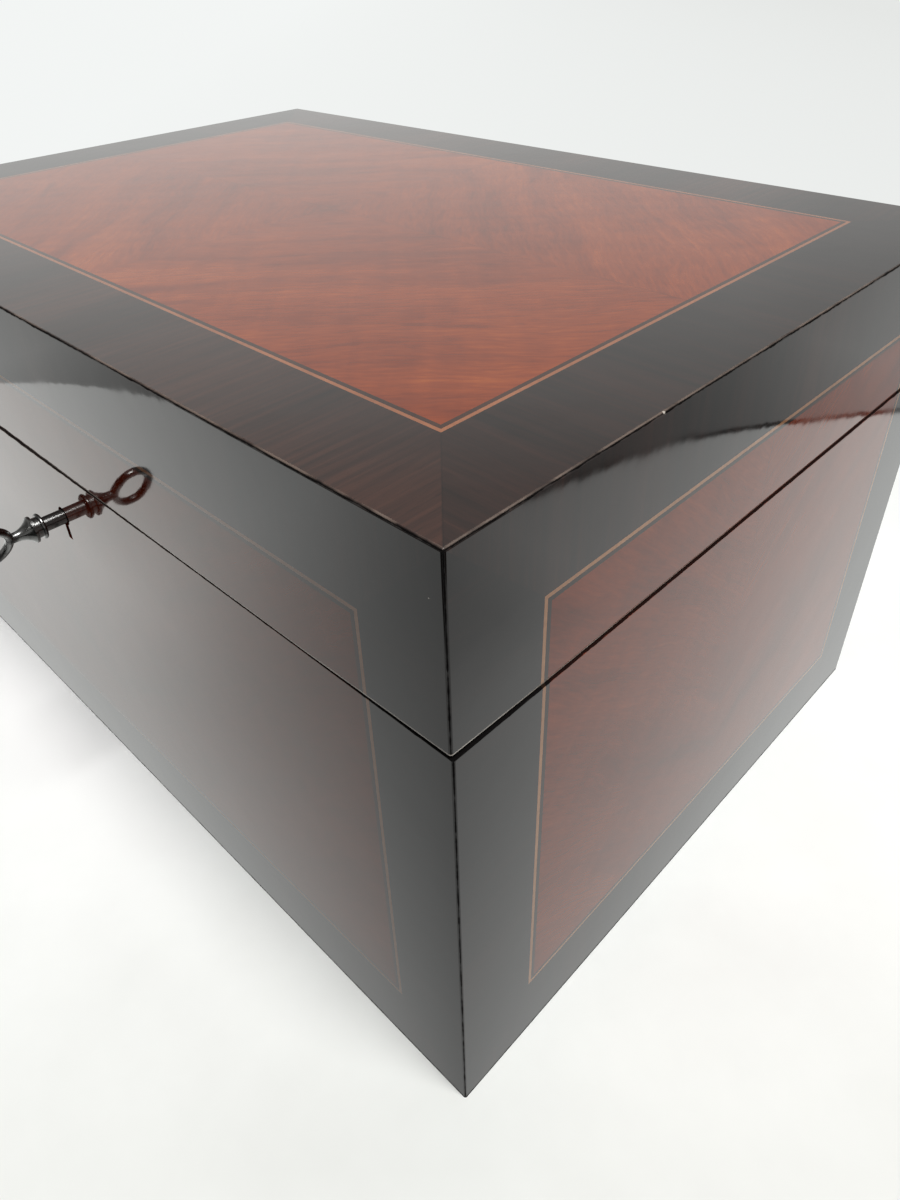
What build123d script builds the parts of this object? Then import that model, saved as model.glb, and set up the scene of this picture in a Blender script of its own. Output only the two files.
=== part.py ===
"""Veneered glove box with a hinged lid, a half-mortise link lock and its pipe key.

Millimetres, +Z up. The origin is the middle of the underside, the front faces -Y and the lid
is hinged along the back. The case is modelled as it is made: a dovetailed carcass, mitred
crossbanding, stringing and panel veneers that run across the seam, a padded lining, two butt
hinges let into the rims and a lock whose bolt slides through two staples of the lid.

The lid is closed, the bolt is drawn back and the key stands in the lock with its bit in the
bolt's notch.
"""

from build123d import *
from math import atan2, cos, degrees, radians, sin, tan
import os

# Case
WIDTH = 300.0
DEPTH = 208.0
HEIGHT = 168.0
LID_HEIGHT = 43.0
BOARD = 11.0
TOP_BOARD = 9.0
BOTTOM_BOARD = 8.0
BOTTOM_REBATE = 6.0
EDGE_ROUND = 0.6
SEAM_ROUND = 0.3
LID_SLIP = 0.5           # how far to the left of the base the lid has come to sit
CORNER_LIFT = 0.8        # gap left under the lid's front right corner
LIFT_ALONG_FRONT = 60.0
LIFT_ALONG_SIDE = 36.0

# Dovetails of the carcass corners
TAIL_PITCH = 30.0
TAIL_WIDTH = 19.0
TAIL_SLOPE = 1 / 7

# Veneers
VENEER = 1.0
TOP_BORDER = 24.0
LEVEL_BORDER = 22.2      # along the head and foot of the four sides
FRONT_BORDER = 21.0      # up the ends of the front and back
END_BORDER = 23.4        # up the ends of the left and right
LIGHT_STRING = 0.9
DARK_STRING = 1.1
RIM_VENEER = 1.0

# Padded lining
WALL_PAD = 3.5
FLOOR_PAD = 6.0
CEILING_PAD = 6.0
PAD_GAP = 0.3
PAD_BELOW_RIM = 1.2
PAD_EASE = 1.0

# Hinges and the chamfer that stops the lid
LID_OPENS = 100.0
STOP_EASE = 0.6
HINGE_INSET = 4.0
HINGE_SPREAD = 170.0
HINGE_LENGTH = 40.0
HINGE_BARREL = 2.4
HINGE_PIN = 1.0
LEAF_THICK = 1.5
LEAF_GAP = 0.3
LEAF_BACK = 0.8
KNUCKLES = 5
KNUCKLE_GAP = 0.2
PIN_CLEARANCE = 0.05
BARREL_CLEARANCE = 0.25
PIN_END = 0.4

# Wood screws
SCREW_HEAD = 1.7
SCREW_SHANK = 0.95
SCREW_TIP = 0.35
SCREW_LENGTH = 7.5
SCREW_SLOT = 0.45
SCREW_SLOT_DEPTH = 0.5
SCREW_FIT = 0.02
HINGE_SCREW_PITCH = 13.0

# Lock
KEY_DROP = 17.7
LOCK_HALF_WIDTH = 29.0
LOCK_LOW = 30.0
PLATE = 1.5
SELVEDGE = 1.6
CAP_PLATE = 1.0
CAP_HALF_WIDTH = 22.2
CAP_LOW = 27.0
LOCK_SPACE = 5.8
POCKET_EASE = 0.1
PLATE_SCREW_X = 25.5
PLATE_SCREW_DROPS = (6.8, 25.0)
DRILL_PIN = 1.2
PILLAR = 1.6
PILLAR_PLACES = ((-18.0, -6.0), (18.3, -23.4))
CAP_SCREW_SHANK = 0.7
CAP_SCREW_HEAD = 1.3
CAP_SCREW_LENGTH = 4.0
STUD = 0.9

# Bolt and staples
BOLT_THICK = 2.0
BOLT_BAR_LOW = 14.4
BOLT_BAR_HIGH = 9.8
BOLT_LEFT = -10.0
BOLT_HUMP = 4.2
BOLT_HUMP_RISE = 1.4
FINGER_HIGH = 4.4
FINGER_LOW = 7.4
FINGER_ARM = 3.0
NOTCH_MOUTH = 2.45
NOTCH_HALF = 1.4
NOTCH_CLEAR = 0.45
GUIDE_SLOT_START = 8.6
GUIDE_DROP = 12.1
STAPLE_SPREAD = 18.0
STAPLE_THICK = 2.2
STAPLE_WIDTH = 5.0
STAPLE_DEEP = 9.3
STAPLE_WALL = 1.2
STAPLE_CLEAR = 0.3
FINGER_CLEAR = 1.0
LINK_HALF_LENGTH = 22.0
LINK_WIDTH = 7.6
LINK_PLATE = 1.5
LINK_GAP = 0.1
LINK_SCREW_X = 17.0
SPRING_STRIP = 0.6
SPRING_WIDTH = 2.4
SPRING_PLAY = 0.15
SPRING_FIT = 0.02
SPRING_BEND = 3.0
SPRING_ARM = 4.0
SPRING_CREST = 30.0
SPRING_CREST_RADIUS = 8.0

# Key
KEY_TURN_AT_REST = 28.0
STEM = 2.1
STEM_BORE_CLEARANCE = 0.08
STEM_BORE_DEPTH = 6.5
STEM_END_GAP = 0.3
BIT_REACH = 6.3
BIT_THICK = 1.8
BIT_LENGTH = 4.4
BIT_WARD = 0.7
RING_FROM_FACE = 6.1
RING_WIDTH = 1.1
RING_RADIUS = 3.7
GROOVE_WIDTH = 1.5
GROOVE_RADIUS = 2.9
FLARE_RADIUS = 3.8
FLARE_RIM = 0.7
NECK_FROM_FACE = 13.9
NECK_RADIUS = 1.4
BOW_LENGTH = 13.0
BOW_WIDTH = 15.6
BOW_HOLE_LENGTH = 8.6
BOW_HOLE_WIDTH = 11.2
BOW_THICK = 2.3
BOW_ROUND = 0.95
BOW_SINK = 0.8
OVAL_TIGHTNESS = 0.8     # radius of an oval's tight arcs, as a share of its shorter half
KEYHOLE_RADIUS = 2.8
KEYHOLE_SLOT = 2.3
KEYHOLE_DEEP = 7.6

# Worked out from the sizes above
SEAM = HEIGHT - LID_HEIGHT
HALF_W = WIDTH / 2
HALF_D = DEPTH / 2
WALL = VENEER + BOARD
INNER_W = HALF_W - WALL
INNER_D = HALF_D - WALL
LID_CEILING = HEIGHT - VENEER - TOP_BOARD
HINGE_Y = HALF_D - HINGE_INSET
STOP_ANGLE = (LID_OPENS + STOP_EASE) / 2
FRONT = -HALF_D
LOCK_BACK = -INNER_D
SPACE_BACK = LOCK_BACK - PLATE
SPACE_FRONT = SPACE_BACK - LOCK_SPACE
CAP_FRONT = SPACE_FRONT - CAP_PLATE
KEY_Z = SEAM - KEY_DROP
BOLT_MIDDLE = (SPACE_BACK + SPACE_FRONT) / 2
BIT_SWING = radians(KEY_TURN_AT_REST)
BOLT_TRAVEL = 2 * BIT_REACH * sin(BIT_SWING)
NOTCH_X = BOLT_TRAVEL / 2
PAST = 5.0               # how far a cutting tool reaches past what it cuts


# ---------------------------------------------------------------- helpers


def block(x, y, z):
    """A box from its (low, high) limits along each axis."""
    size = [b - a for a, b in (x, y, z)]
    middle = [(a + b) / 2 for a, b in (x, y, z)]
    return Pos(*middle) * Box(*size)


def prism_xy(points, low, high):
    """A polygon of (x, y) points, carried from z = low to z = high."""
    return extrude(Pos(0, 0, low) * make_face(Polyline(*points, close=True)), high - low)


def prism_xz(points, low, high):
    """A polygon of (x, z) points, carried from y = low to y = high."""
    plane = Plane(origin=(0, high, 0), x_dir=(1, 0, 0), z_dir=(0, -1, 0))
    return extrude(plane * make_face(Polyline(*points, close=True)), high - low)


def prism_yz(points, low, high):
    """A polygon of (y, z) points, carried from x = low to x = high."""
    plane = Plane(origin=(low, 0, 0), x_dir=(0, 1, 0), z_dir=(1, 0, 0))
    return extrude(plane * make_face(Polyline(*points, close=True)), high - low)


def rod_x(radius, low, high, y, z):
    """A round rod along X."""
    return Pos((low + high) / 2, y, z) * Rot(0, 90, 0) * Cylinder(radius, high - low)


def rod_y(radius, low, high, x, z):
    """A round rod along Y."""
    return Pos(x, (low + high) / 2, z) * Rot(90, 0, 0) * Cylinder(radius, high - low)


def solids_of(shapes):
    """All the solids of a shape or a list of shapes, as one flat list."""
    shapes = shapes if isinstance(shapes, (list, tuple)) else [shapes]
    return [solid for shape in shapes if shape for solid in shape.solids()]


def cut(shapes, *tools):
    """Each solid less every tool."""
    kept = solids_of(shapes)
    for tool in tools:
        kept = solids_of([solid - tool for solid in kept])
    return kept


# ---------------------------------------------------------------- screws


def wood_screw(length=SCREW_LENGTH):
    """A slotted countersunk wood screw, head up at z = 0, without its thread."""
    head_deep = SCREW_HEAD - SCREW_SHANK
    outline = [
        (0, 0),
        (SCREW_HEAD, 0),
        (SCREW_SHANK, -head_deep),
        (SCREW_SHANK, -length / 2),
        (SCREW_TIP, -length),
        (0, -length),
    ]
    body = revolve(Plane.XZ * make_face(Polyline(*outline, close=True)), Axis.Z)
    slot = block((-SCREW_HEAD, SCREW_HEAD), (-SCREW_SLOT / 2, SCREW_SLOT / 2), (-SCREW_SLOT_DEPTH, 1))
    return body - slot


def wood_screw_hole(length=SCREW_LENGTH):
    """The countersunk hole that a wood screw fills, a little wider all round."""
    head_deep = SCREW_HEAD - SCREW_SHANK
    outline = [
        (0, PAST),
        (SCREW_HEAD + SCREW_FIT, PAST),
        (SCREW_HEAD + SCREW_FIT, 0),
        (SCREW_SHANK + SCREW_FIT, -head_deep),
        (SCREW_SHANK + SCREW_FIT, -length / 2),
        (SCREW_TIP + SCREW_FIT, -length - SCREW_FIT),
        (0, -length - SCREW_FIT),
    ]
    return revolve(Plane.XZ * make_face(Polyline(*outline, close=True)), Axis.Z)


HEAD_UP = Rot(0, 0, 0)
HEAD_DOWN = Rot(180, 0, 0)
HEAD_INWARDS = Rot(-90, 0, 0)      # the head faces +Y, the point goes to -Y


def base_hinge_screw_places():
    """Where the screws of the base's hinge leaves stand, heads up."""
    return [Pos(x, y, SEAM - LEAF_GAP / 2) * HEAD_UP for x, y in hinge_screw_points()]


def lid_hinge_screw_places():
    """Where the screws of the lid's hinge leaves stand, heads down."""
    return [Pos(x, y, SEAM + LEAF_GAP / 2) * HEAD_DOWN for x, y in hinge_screw_points()]


def hinge_screw_points():
    """Plan positions of the three screws of each leaf."""
    leaf_edge = INNER_D + LEAF_BACK
    y = (leaf_edge + HINGE_Y - HINGE_BARREL) / 2
    steps = (-HINGE_SCREW_PITCH, 0, HINGE_SCREW_PITCH)
    return [(middle + step, y) for middle in hinge_middles() for step in steps]


def lock_screw_places():
    """The four screws through the lock plate, heads on the inner face of the front wall."""
    return [
        Pos(side * PLATE_SCREW_X, LOCK_BACK, SEAM - drop) * HEAD_INWARDS
        for side in (-1, 1)
        for drop in PLATE_SCREW_DROPS
    ]


def link_screw_places():
    """The two screws of the link plate, heads down."""
    z = SEAM + LINK_GAP
    return [Pos(side * LINK_SCREW_X, BOLT_MIDDLE, z) * HEAD_DOWN for side in (-1, 1)]


def placed(shape, places):
    """One copy of the shape at each place."""
    return [place * shape for place in places]


# ---------------------------------------------------------------- hinges


def hinge_middles():
    """The X of the middle of each hinge."""
    return (-HINGE_SPREAD / 2, HINGE_SPREAD / 2)


def knuckle_spans(middle):
    """(low, high) of every knuckle of one hinge, from left to right."""
    pitch = HINGE_LENGTH / KNUCKLES
    start = middle - HINGE_LENGTH / 2
    half_gap = KNUCKLE_GAP / 2
    return [
        (start + i * pitch + half_gap, start + (i + 1) * pitch - half_gap) for i in range(KNUCKLES)
    ]


def leaf_plate(middle, low, high):
    """The flat part of a leaf, from the pin's axis to just short of the wall's inner face."""
    x = (middle - HINGE_LENGTH / 2, middle + HINGE_LENGTH / 2)
    return block(x, (INNER_D + LEAF_BACK, HINGE_Y), (low, high))


def hinge_leaf(middle, low, high, own, other, screw_places):
    """A leaf with its own knuckles rolled on, relieved for the other leaf's knuckles."""
    spans = knuckle_spans(middle)
    bore = rod_x(HINGE_PIN + PIN_CLEARANCE, spans[0][0] - PAST, spans[-1][1] + PAST, HINGE_Y, SEAM)
    leaf = leaf_plate(middle, low, high)
    for i in other:
        room = (spans[i][0] - KNUCKLE_GAP, spans[i][1] + KNUCKLE_GAP)
        leaf -= rod_x(HINGE_BARREL + KNUCKLE_GAP, *room, HINGE_Y, SEAM)
    for i in own:
        leaf += rod_x(HINGE_BARREL, *spans[i], HINGE_Y, SEAM)
    leaf -= bore
    for hole in placed(wood_screw_hole(), screw_places):
        leaf -= hole
    return leaf.solid()


def base_leaves():
    """Both leaves on the base, with the outer and middle knuckles."""
    low, high = SEAM - LEAF_GAP / 2 - LEAF_THICK, SEAM - LEAF_GAP / 2
    own, other = range(0, KNUCKLES, 2), range(1, KNUCKLES, 2)
    return [hinge_leaf(m, low, high, own, other, base_hinge_screw_places()) for m in hinge_middles()]


def lid_leaves():
    """Both leaves on the lid, with the knuckles between."""
    low, high = SEAM + LEAF_GAP / 2, SEAM + LEAF_GAP / 2 + LEAF_THICK
    own, other = range(1, KNUCKLES, 2), range(0, KNUCKLES, 2)
    return [hinge_leaf(m, low, high, own, other, lid_hinge_screw_places()) for m in hinge_middles()]


def hinge_pins():
    """A pin through all the knuckles of each hinge."""
    half = HINGE_LENGTH / 2 - KNUCKLE_GAP / 2 - PIN_END
    return [rod_x(HINGE_PIN, m - half, m + half, HINGE_Y, SEAM) for m in hinge_middles()]


def hinge_mortises():
    """What the wood of both halves loses for the leaves and their barrels."""
    thick = LEAF_THICK + LEAF_GAP / 2
    tools = []
    for middle in hinge_middles():
        ends = (middle - HINGE_LENGTH / 2, middle + HINGE_LENGTH / 2)
        room = (ends[0] - BARREL_CLEARANCE, ends[1] + BARREL_CLEARANCE)
        tools.append(leaf_plate(middle, SEAM - thick, SEAM + thick))
        tools.append(rod_x(HINGE_BARREL + BARREL_CLEARANCE, *room, HINGE_Y, SEAM))
    return tools


def stop_groove():
    """The V along the back whose two chamfers meet when the lid is open."""
    reach = HINGE_INSET + PAST
    rise = reach * tan(radians(STOP_ANGLE))
    outline = [(HINGE_Y, SEAM), (HINGE_Y + reach, SEAM + rise), (HINGE_Y + reach, SEAM - rise)]
    return prism_yz(outline, -HALF_W - PAST, HALF_W + PAST)


# ---------------------------------------------------------------- veneers


def base_block():
    """The outside of the base, with its edges eased."""
    body = block((-HALF_W, HALF_W), (-HALF_D, HALF_D), (0, SEAM))
    body = fillet(body.edges().filter_by(Axis.Z), EDGE_ROUND)
    return fillet(body.edges().group_by(Axis.Z)[-1], SEAM_ROUND)


def lid_block():
    """The outside of the lid, with its edges eased."""
    body = block((-HALF_W, HALF_W), (-HALF_D, HALF_D), (SEAM, HEIGHT))
    upper = body.edges().filter_by(Axis.Z) + body.edges().group_by(Axis.Z)[-1]
    body = fillet(upper, EDGE_ROUND)
    return fillet(body.edges().group_by(Axis.Z)[0], SEAM_ROUND)


def corner_lift():
    """A thin wedge under the lid's front right corner, where the wood has risen off the base."""
    side = Vector(HALF_W, -HALF_D + LIFT_ALONG_SIDE, SEAM)
    front = Vector(HALF_W - LIFT_ALONG_FRONT, -HALF_D, SEAM)
    corner = Vector(HALF_W, -HALF_D, SEAM + CORNER_LIFT)
    slope = Plane(origin=corner, x_dir=side - corner, z_dir=(front - corner).cross(side - corner))
    if slope.z_dir.Z < 0:
        slope = -slope
    reach = 3 * (LIFT_ALONG_FRONT + LIFT_ALONG_SIDE)
    return slope * Pos(0, 0, -PAST / 2) * Box(reach, reach, PAST)


def face_plane(face):
    """The plane of a show face, its X along the face, its Y up (back on the top), facing in."""
    return {
        "front": Plane(origin=(0, -HALF_D, 0), x_dir=(-1, 0, 0), z_dir=(0, 1, 0)),
        "back": Plane(origin=(0, HALF_D, 0), x_dir=(1, 0, 0), z_dir=(0, -1, 0)),
        "left": Plane(origin=(-HALF_W, 0, 0), x_dir=(0, 1, 0), z_dir=(1, 0, 0)),
        "right": Plane(origin=(HALF_W, 0, 0), x_dir=(0, -1, 0), z_dir=(-1, 0, 0)),
        "top": Plane(origin=(0, 0, HEIGHT), x_dir=(-1, 0, 0), z_dir=(0, 0, -1)),
    }[face]


def face_outline(face):
    """(left, right, low, high) of a show face in its own plane."""
    half = HALF_D if face in ("left", "right") else HALF_W
    return (-half, half, -HALF_D, HALF_D) if face == "top" else (-half, half, 0.0, HEIGHT)


def mitred_slab(face):
    """A face's layer of veneer, mitred to its neighbours at the case's edges."""
    left, right, low, high = face_outline(face)
    low = low if face == "top" else low - PAST
    middle = Pos((left + right) / 2, (low + high) / 2)
    outline = face_plane(face) * middle * Rectangle(right - left, high - low)
    return extrude(outline, VENEER, taper=45)


def borders(face):
    """How wide the crossbanding is on a show face: (at its ends, at its head and foot)."""
    if face == "top":
        return TOP_BORDER, TOP_BORDER
    return (FRONT_BORDER if face in ("front", "back") else END_BORDER), LEVEL_BORDER


def inset_outline(outline, ends, levels):
    """An outline drawn in from its ends and from its head and foot."""
    left, right, low, high = outline
    return left + ends, right - ends, low + levels, high - levels


def strip_outline(near, far, side):
    """One side of a frame of strips between an outer and an inner outline, mitred at its ends."""
    return {
        "left": [(near[0], near[2]), (far[0], far[2]), (far[0], far[3]), (near[0], near[3])],
        "right": [(near[1], near[2]), (far[1], far[2]), (far[1], far[3]), (near[1], near[3])],
        "low": [(near[0], near[2]), (near[1], near[2]), (far[1], far[2]), (far[0], far[2])],
        "high": [(near[0], near[3]), (near[1], near[3]), (far[1], far[3]), (far[0], far[3])],
    }[side]


def inlay(face, slab, points):
    """The part of a face's veneer layer that a polygon on the face covers."""
    return slab & extrude(face_plane(face) * make_face(Polyline(*points, close=True)), VENEER)


def frame_of_strips(face, slab, near, far):
    """The strips of one frame of banding or stringing that lie in the slab."""
    strips = [strip_outline(near, far, side) for side in ("left", "right", "low", "high")]
    return solids_of([inlay(face, slab, points) for points in strips])


def centre_panel(face, slab, outline):
    """The panel veneer inside the stringing."""
    left, right, low, high = outline
    corners = [(left, low), (right, low), (right, high), (left, high)]
    return solids_of(inlay(face, slab, corners))


def veneer_half(half, body, faces, tools):
    """Every veneer node of the lid or the base: {node name: solids}."""
    nodes = {f"{half}_light_stringing": [], f"{half}_dark_stringing": []}
    for face in faces:
        slab = mitred_slab(face) & body
        for tool in tools:
            slab -= tool
        edge = face_outline(face)
        border = inset_outline(edge, *borders(face))
        light = inset_outline(border, LIGHT_STRING, LIGHT_STRING)
        dark = inset_outline(light, DARK_STRING, DARK_STRING)
        nodes[f"{half}_{face}_panel_veneer"] = centre_panel(face, slab, dark)
        nodes[f"{half}_{face}_crossbanding"] = frame_of_strips(face, slab, edge, border)
        nodes[f"{half}_light_stringing"] += frame_of_strips(face, slab, border, light)
        nodes[f"{half}_dark_stringing"] += frame_of_strips(face, slab, light, dark)
    return nodes


def rim_veneers(low, high, tools):
    """Four mitred strips of veneer on a rim."""
    edge = inset_outline((-HALF_W, HALF_W, -HALF_D, HALF_D), VENEER, VENEER)
    inner = inset_outline(edge, BOARD, BOARD)
    sides = ("left", "right", "low", "high")
    strips = [prism_xy(strip_outline(edge, inner, side), low, high) for side in sides]
    return cut(strips, *tools)


# ---------------------------------------------------------------- carcass


def tail_outline(end, middle):
    """One dovetail in (y, z), narrow at the shoulder and wide at the board's end."""
    shoulder, tip = end * INNER_D, end * (INNER_D + BOARD)
    narrow = TAIL_WIDTH / 2
    wide = narrow + BOARD * TAIL_SLOPE
    return [
        (shoulder, middle - narrow),
        (tip, middle - wide),
        (tip, middle + wide),
        (shoulder, middle + narrow),
    ]


def tails(side, end, low, high):
    """The tails of one end of a side board; side is -1 for the left board, +1 for the right."""
    count = max(1, int((high - low) // TAIL_PITCH))
    first = (low + high - (count - 1) * TAIL_PITCH) / 2
    x = sorted((side * INNER_W, side * (INNER_W + BOARD)))
    return [prism_yz(tail_outline(end, first + i * TAIL_PITCH), *x) for i in range(count)]


def dovetailed_walls(low, high, tools):
    """Front, back, left and right boards of a half, joined by through dovetails."""
    walls = {}
    all_tails = []
    for name, side in (("left", -1), ("right", 1)):
        x = sorted((side * INNER_W, side * (INNER_W + BOARD)))
        board = block(x, (-INNER_D, INNER_D), (low, high))
        for end in (-1, 1):
            for tail in tails(side, end, low, high):
                board += tail
                all_tails.append(tail)
        walls[name] = cut(board, *tools)
    for name, side in (("front", -1), ("back", 1)):
        y = sorted((side * INNER_D, side * (INNER_D + BOARD)))
        board = block((-INNER_W - BOARD, INNER_W + BOARD), y, (low, high))
        walls[name] = cut(board, *all_tails, *tools)
    return walls


def bottom_board():
    """The bottom, let into a rebate round the foot of the walls."""
    x, y = INNER_W + BOTTOM_REBATE, INNER_D + BOTTOM_REBATE
    return block((-x, x), (-y, y), (0, BOTTOM_BOARD))


def top_board():
    """The lid's top, lying on the lid's walls."""
    x, y = INNER_W + BOARD, INNER_D + BOARD
    return block((-x, x), (-y, y), (LID_CEILING, HEIGHT - VENEER))


# ---------------------------------------------------------------- lining


def soft_block(x, y, z):
    """A pad with its edges eased."""
    body = block(x, y, z)
    return chamfer(body.edges(), PAD_EASE).solid()


def wall_pads(low, high):
    """Pads for the four inner walls between two heights: {wall: solids}."""
    side_end = INNER_D - WALL_PAD - PAD_GAP
    z = (low, high)
    return {
        "front": soft_block((-INNER_W, INNER_W), (-INNER_D, -INNER_D + WALL_PAD), z),
        "back": soft_block((-INNER_W, INNER_W), (INNER_D - WALL_PAD, INNER_D), z),
        "left": soft_block((-INNER_W, -INNER_W + WALL_PAD), (-side_end, side_end), z),
        "right": soft_block((INNER_W - WALL_PAD, INNER_W), (-side_end, side_end), z),
    }


def lock_opening():
    """What the front pad loses round the lock plate."""
    x = LOCK_HALF_WIDTH + PAD_GAP
    low = SEAM - LOCK_LOW - PAD_GAP
    return block((-x, x), (LOCK_BACK - 1, LOCK_BACK + WALL_PAD + 1), (low, SEAM + 1))


def floor_pad():
    """The pad on the bottom board."""
    x, y = INNER_W - PAD_GAP, INNER_D - PAD_GAP
    return soft_block((-x, x), (-y, y), (BOTTOM_BOARD, BOTTOM_BOARD + FLOOR_PAD))


def ceiling_pad():
    """The pad under the lid's top."""
    x, y = INNER_W - PAD_GAP, INNER_D - PAD_GAP
    return soft_block((-x, x), (-y, y), (LID_CEILING - CEILING_PAD, LID_CEILING))


# ---------------------------------------------------------------- lock


def keyhole(low, high, radius=KEYHOLE_RADIUS):
    """A round hole with a slot below it, along Y."""
    slot_x = (-KEYHOLE_SLOT / 2, KEYHOLE_SLOT / 2)
    slot = block(slot_x, (low, high), (KEY_Z - KEYHOLE_DEEP, KEY_Z))
    return rod_y(radius, low, high, 0, KEY_Z) + slot


def lock_pocket():
    """What the front wall loses for the lock and the key."""
    x = CAP_HALF_WIDTH + POCKET_EASE
    low = SEAM - CAP_LOW - POCKET_EASE
    body = block((-x, x), (CAP_FRONT - POCKET_EASE, LOCK_BACK + PAST), (low, SEAM + PAST))
    plate_low = SEAM - LOCK_LOW
    plate_x = (-LOCK_HALF_WIDTH, LOCK_HALF_WIDTH)
    body += block(plate_x, (SPACE_BACK, LOCK_BACK + PAST), (plate_low, SEAM + PAST))
    body += block(plate_x, (CAP_FRONT, LOCK_BACK + PAST), (SEAM - SELVEDGE, SEAM + PAST))
    return body + keyhole(FRONT - PAST, LOCK_BACK)


def staple_middles():
    """The X of each staple."""
    return (-STAPLE_SPREAD / 2, STAPLE_SPREAD / 2)


def lock_plate():
    """The back plate with the selvedge that lies in the rim, slotted for the staples."""
    x = (-LOCK_HALF_WIDTH, LOCK_HALF_WIDTH)
    plate = block(x, (SPACE_BACK, LOCK_BACK), (SEAM - LOCK_LOW, SEAM))
    plate += block(x, (CAP_FRONT, LOCK_BACK), (SEAM - SELVEDGE, SEAM))
    for middle in staple_middles():
        half = STAPLE_THICK / 2 + STAPLE_CLEAR
        plate -= block((middle - half, middle + half), (SPACE_FRONT, SPACE_BACK), (SEAM - PAST, SEAM + 1))
    for hole in placed(wood_screw_hole(), lock_screw_places()):
        plate -= hole
    return plate.solid()


def cap_screw_places():
    """The screws that hold the cap to its pillars, heads towards the front."""
    return [Pos(x, CAP_FRONT, SEAM + z) * Rot(90, 0, 0) for x, z in PILLAR_PLACES]


def cap_screw(grow=0.0):
    """A small countersunk screw, head up at z = 0; grow widens it into its hole."""
    head, shank = CAP_SCREW_HEAD + grow, CAP_SCREW_SHANK + grow
    outline = [
        (0, grow),
        (head, grow),
        (head, 0),
        (shank, -(CAP_SCREW_HEAD - CAP_SCREW_SHANK)),
        (shank, -CAP_SCREW_LENGTH - grow),
        (0, -CAP_SCREW_LENGTH - grow),
    ]
    points = outline if grow else [outline[0]] + outline[2:]
    return revolve(Plane.XZ * make_face(Polyline(*points, close=True)), Axis.Z).solid()


def lock_cap():
    """The tray over the works: a plate with three walls, open at the selvedge."""
    top = SEAM - SELVEDGE
    low = SEAM - CAP_LOW
    x = CAP_HALF_WIDTH
    tray = block((-x, x), (CAP_FRONT, SPACE_BACK), (low, top))
    inner = CAP_HALF_WIDTH - CAP_PLATE
    tray -= block((-inner, inner), (SPACE_FRONT, SPACE_BACK), (low + CAP_PLATE, top + 1))
    tray -= keyhole(CAP_FRONT - 1, SPACE_FRONT + 1)
    for hole in placed(cap_screw(SCREW_FIT), cap_screw_places()):
        tray -= hole
    return tray.solid()


def lock_pillars():
    """The two pillars between the plate and the cap."""
    holes = placed(cap_screw(SCREW_FIT), cap_screw_places())
    bodies = [rod_y(PILLAR, SPACE_FRONT, SPACE_BACK, x, SEAM + z) for x, z in PILLAR_PLACES]
    return cut(bodies, *holes)


def guide_stud_x():
    """Where the stud in the bolt's slot stands."""
    return GUIDE_SLOT_START + STUD + SCREW_FIT * 10


def lock_studs():
    """The stud in the bolt's slot and the one under the bolt's tail."""
    under = SEAM - BOLT_BAR_LOW - STUD - SCREW_FIT * 5
    return [
        rod_y(STUD, BOLT_MIDDLE - BOLT_THICK, SPACE_BACK, guide_stud_x(), SEAM - GUIDE_DROP),
        rod_y(STUD, BOLT_MIDDLE - BOLT_THICK, SPACE_BACK, BOLT_LEFT + 2 * STUD, under),
    ]


def drill_pin():
    """The pin that the pipe key turns on."""
    return rod_y(DRILL_PIN, SPACE_BACK - STEM_BORE_DEPTH + 1, SPACE_BACK, 0, KEY_Z)


def bolt():
    """The sliding bolt: bar, talon notch, guide slot and two fingers that point to -X."""
    low, high = SEAM - BOLT_BAR_LOW, SEAM - BOLT_BAR_HIGH
    y = (BOLT_MIDDLE - BOLT_THICK / 2, BOLT_MIDDLE + BOLT_THICK / 2)
    arm_from = STAPLE_THICK / 2 + STAPLE_CLEAR + BOLT_TRAVEL + 0.1
    right_end = STAPLE_SPREAD / 2 + arm_from + FINGER_ARM
    body = block((BOLT_LEFT, right_end), y, (low, high))
    hump = (NOTCH_X - BOLT_HUMP, NOTCH_X + BOLT_HUMP)
    body += block(hump, y, (low, high + BOLT_HUMP_RISE))
    for middle in staple_middles():
        arm = (middle + arm_from, middle + arm_from + FINGER_ARM)
        tip = middle + STAPLE_THICK / 2 + FINGER_CLEAR
        body += block(arm, y, (low, SEAM - FINGER_HIGH))
        body += block((tip, arm[1]), y, (SEAM - FINGER_LOW, SEAM - FINGER_HIGH))
    roof = KEY_Z + BIT_REACH + NOTCH_CLEAR
    shoulder = KEY_Z + BIT_REACH * cos(BIT_SWING) - SCREW_FIT * 10
    notch = [
        (NOTCH_X - NOTCH_MOUTH, low - 0.1),
        (NOTCH_X - NOTCH_HALF, shoulder),
        (NOTCH_X - NOTCH_HALF, roof),
        (NOTCH_X + NOTCH_HALF, roof),
        (NOTCH_X + NOTCH_HALF, shoulder),
        (NOTCH_X + NOTCH_MOUTH, low - 0.1),
    ]
    body -= prism_xz(notch, y[0] - 1, y[1] + 1)
    slot_half = STUD + SCREW_FIT * 5
    first = GUIDE_SLOT_START + slot_half
    for x in (first, first + BOLT_TRAVEL + SCREW_FIT * 10):
        body -= rod_y(slot_half, y[0] - 1, y[1] + 1, x, SEAM - GUIDE_DROP)
    slot_x = (first, first + BOLT_TRAVEL + SCREW_FIT * 10)
    slot_z = (SEAM - GUIDE_DROP - slot_half, SEAM - GUIDE_DROP + slot_half)
    body -= block(slot_x, (y[0] - 1, y[1] + 1), slot_z)
    return body.solid()


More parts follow.
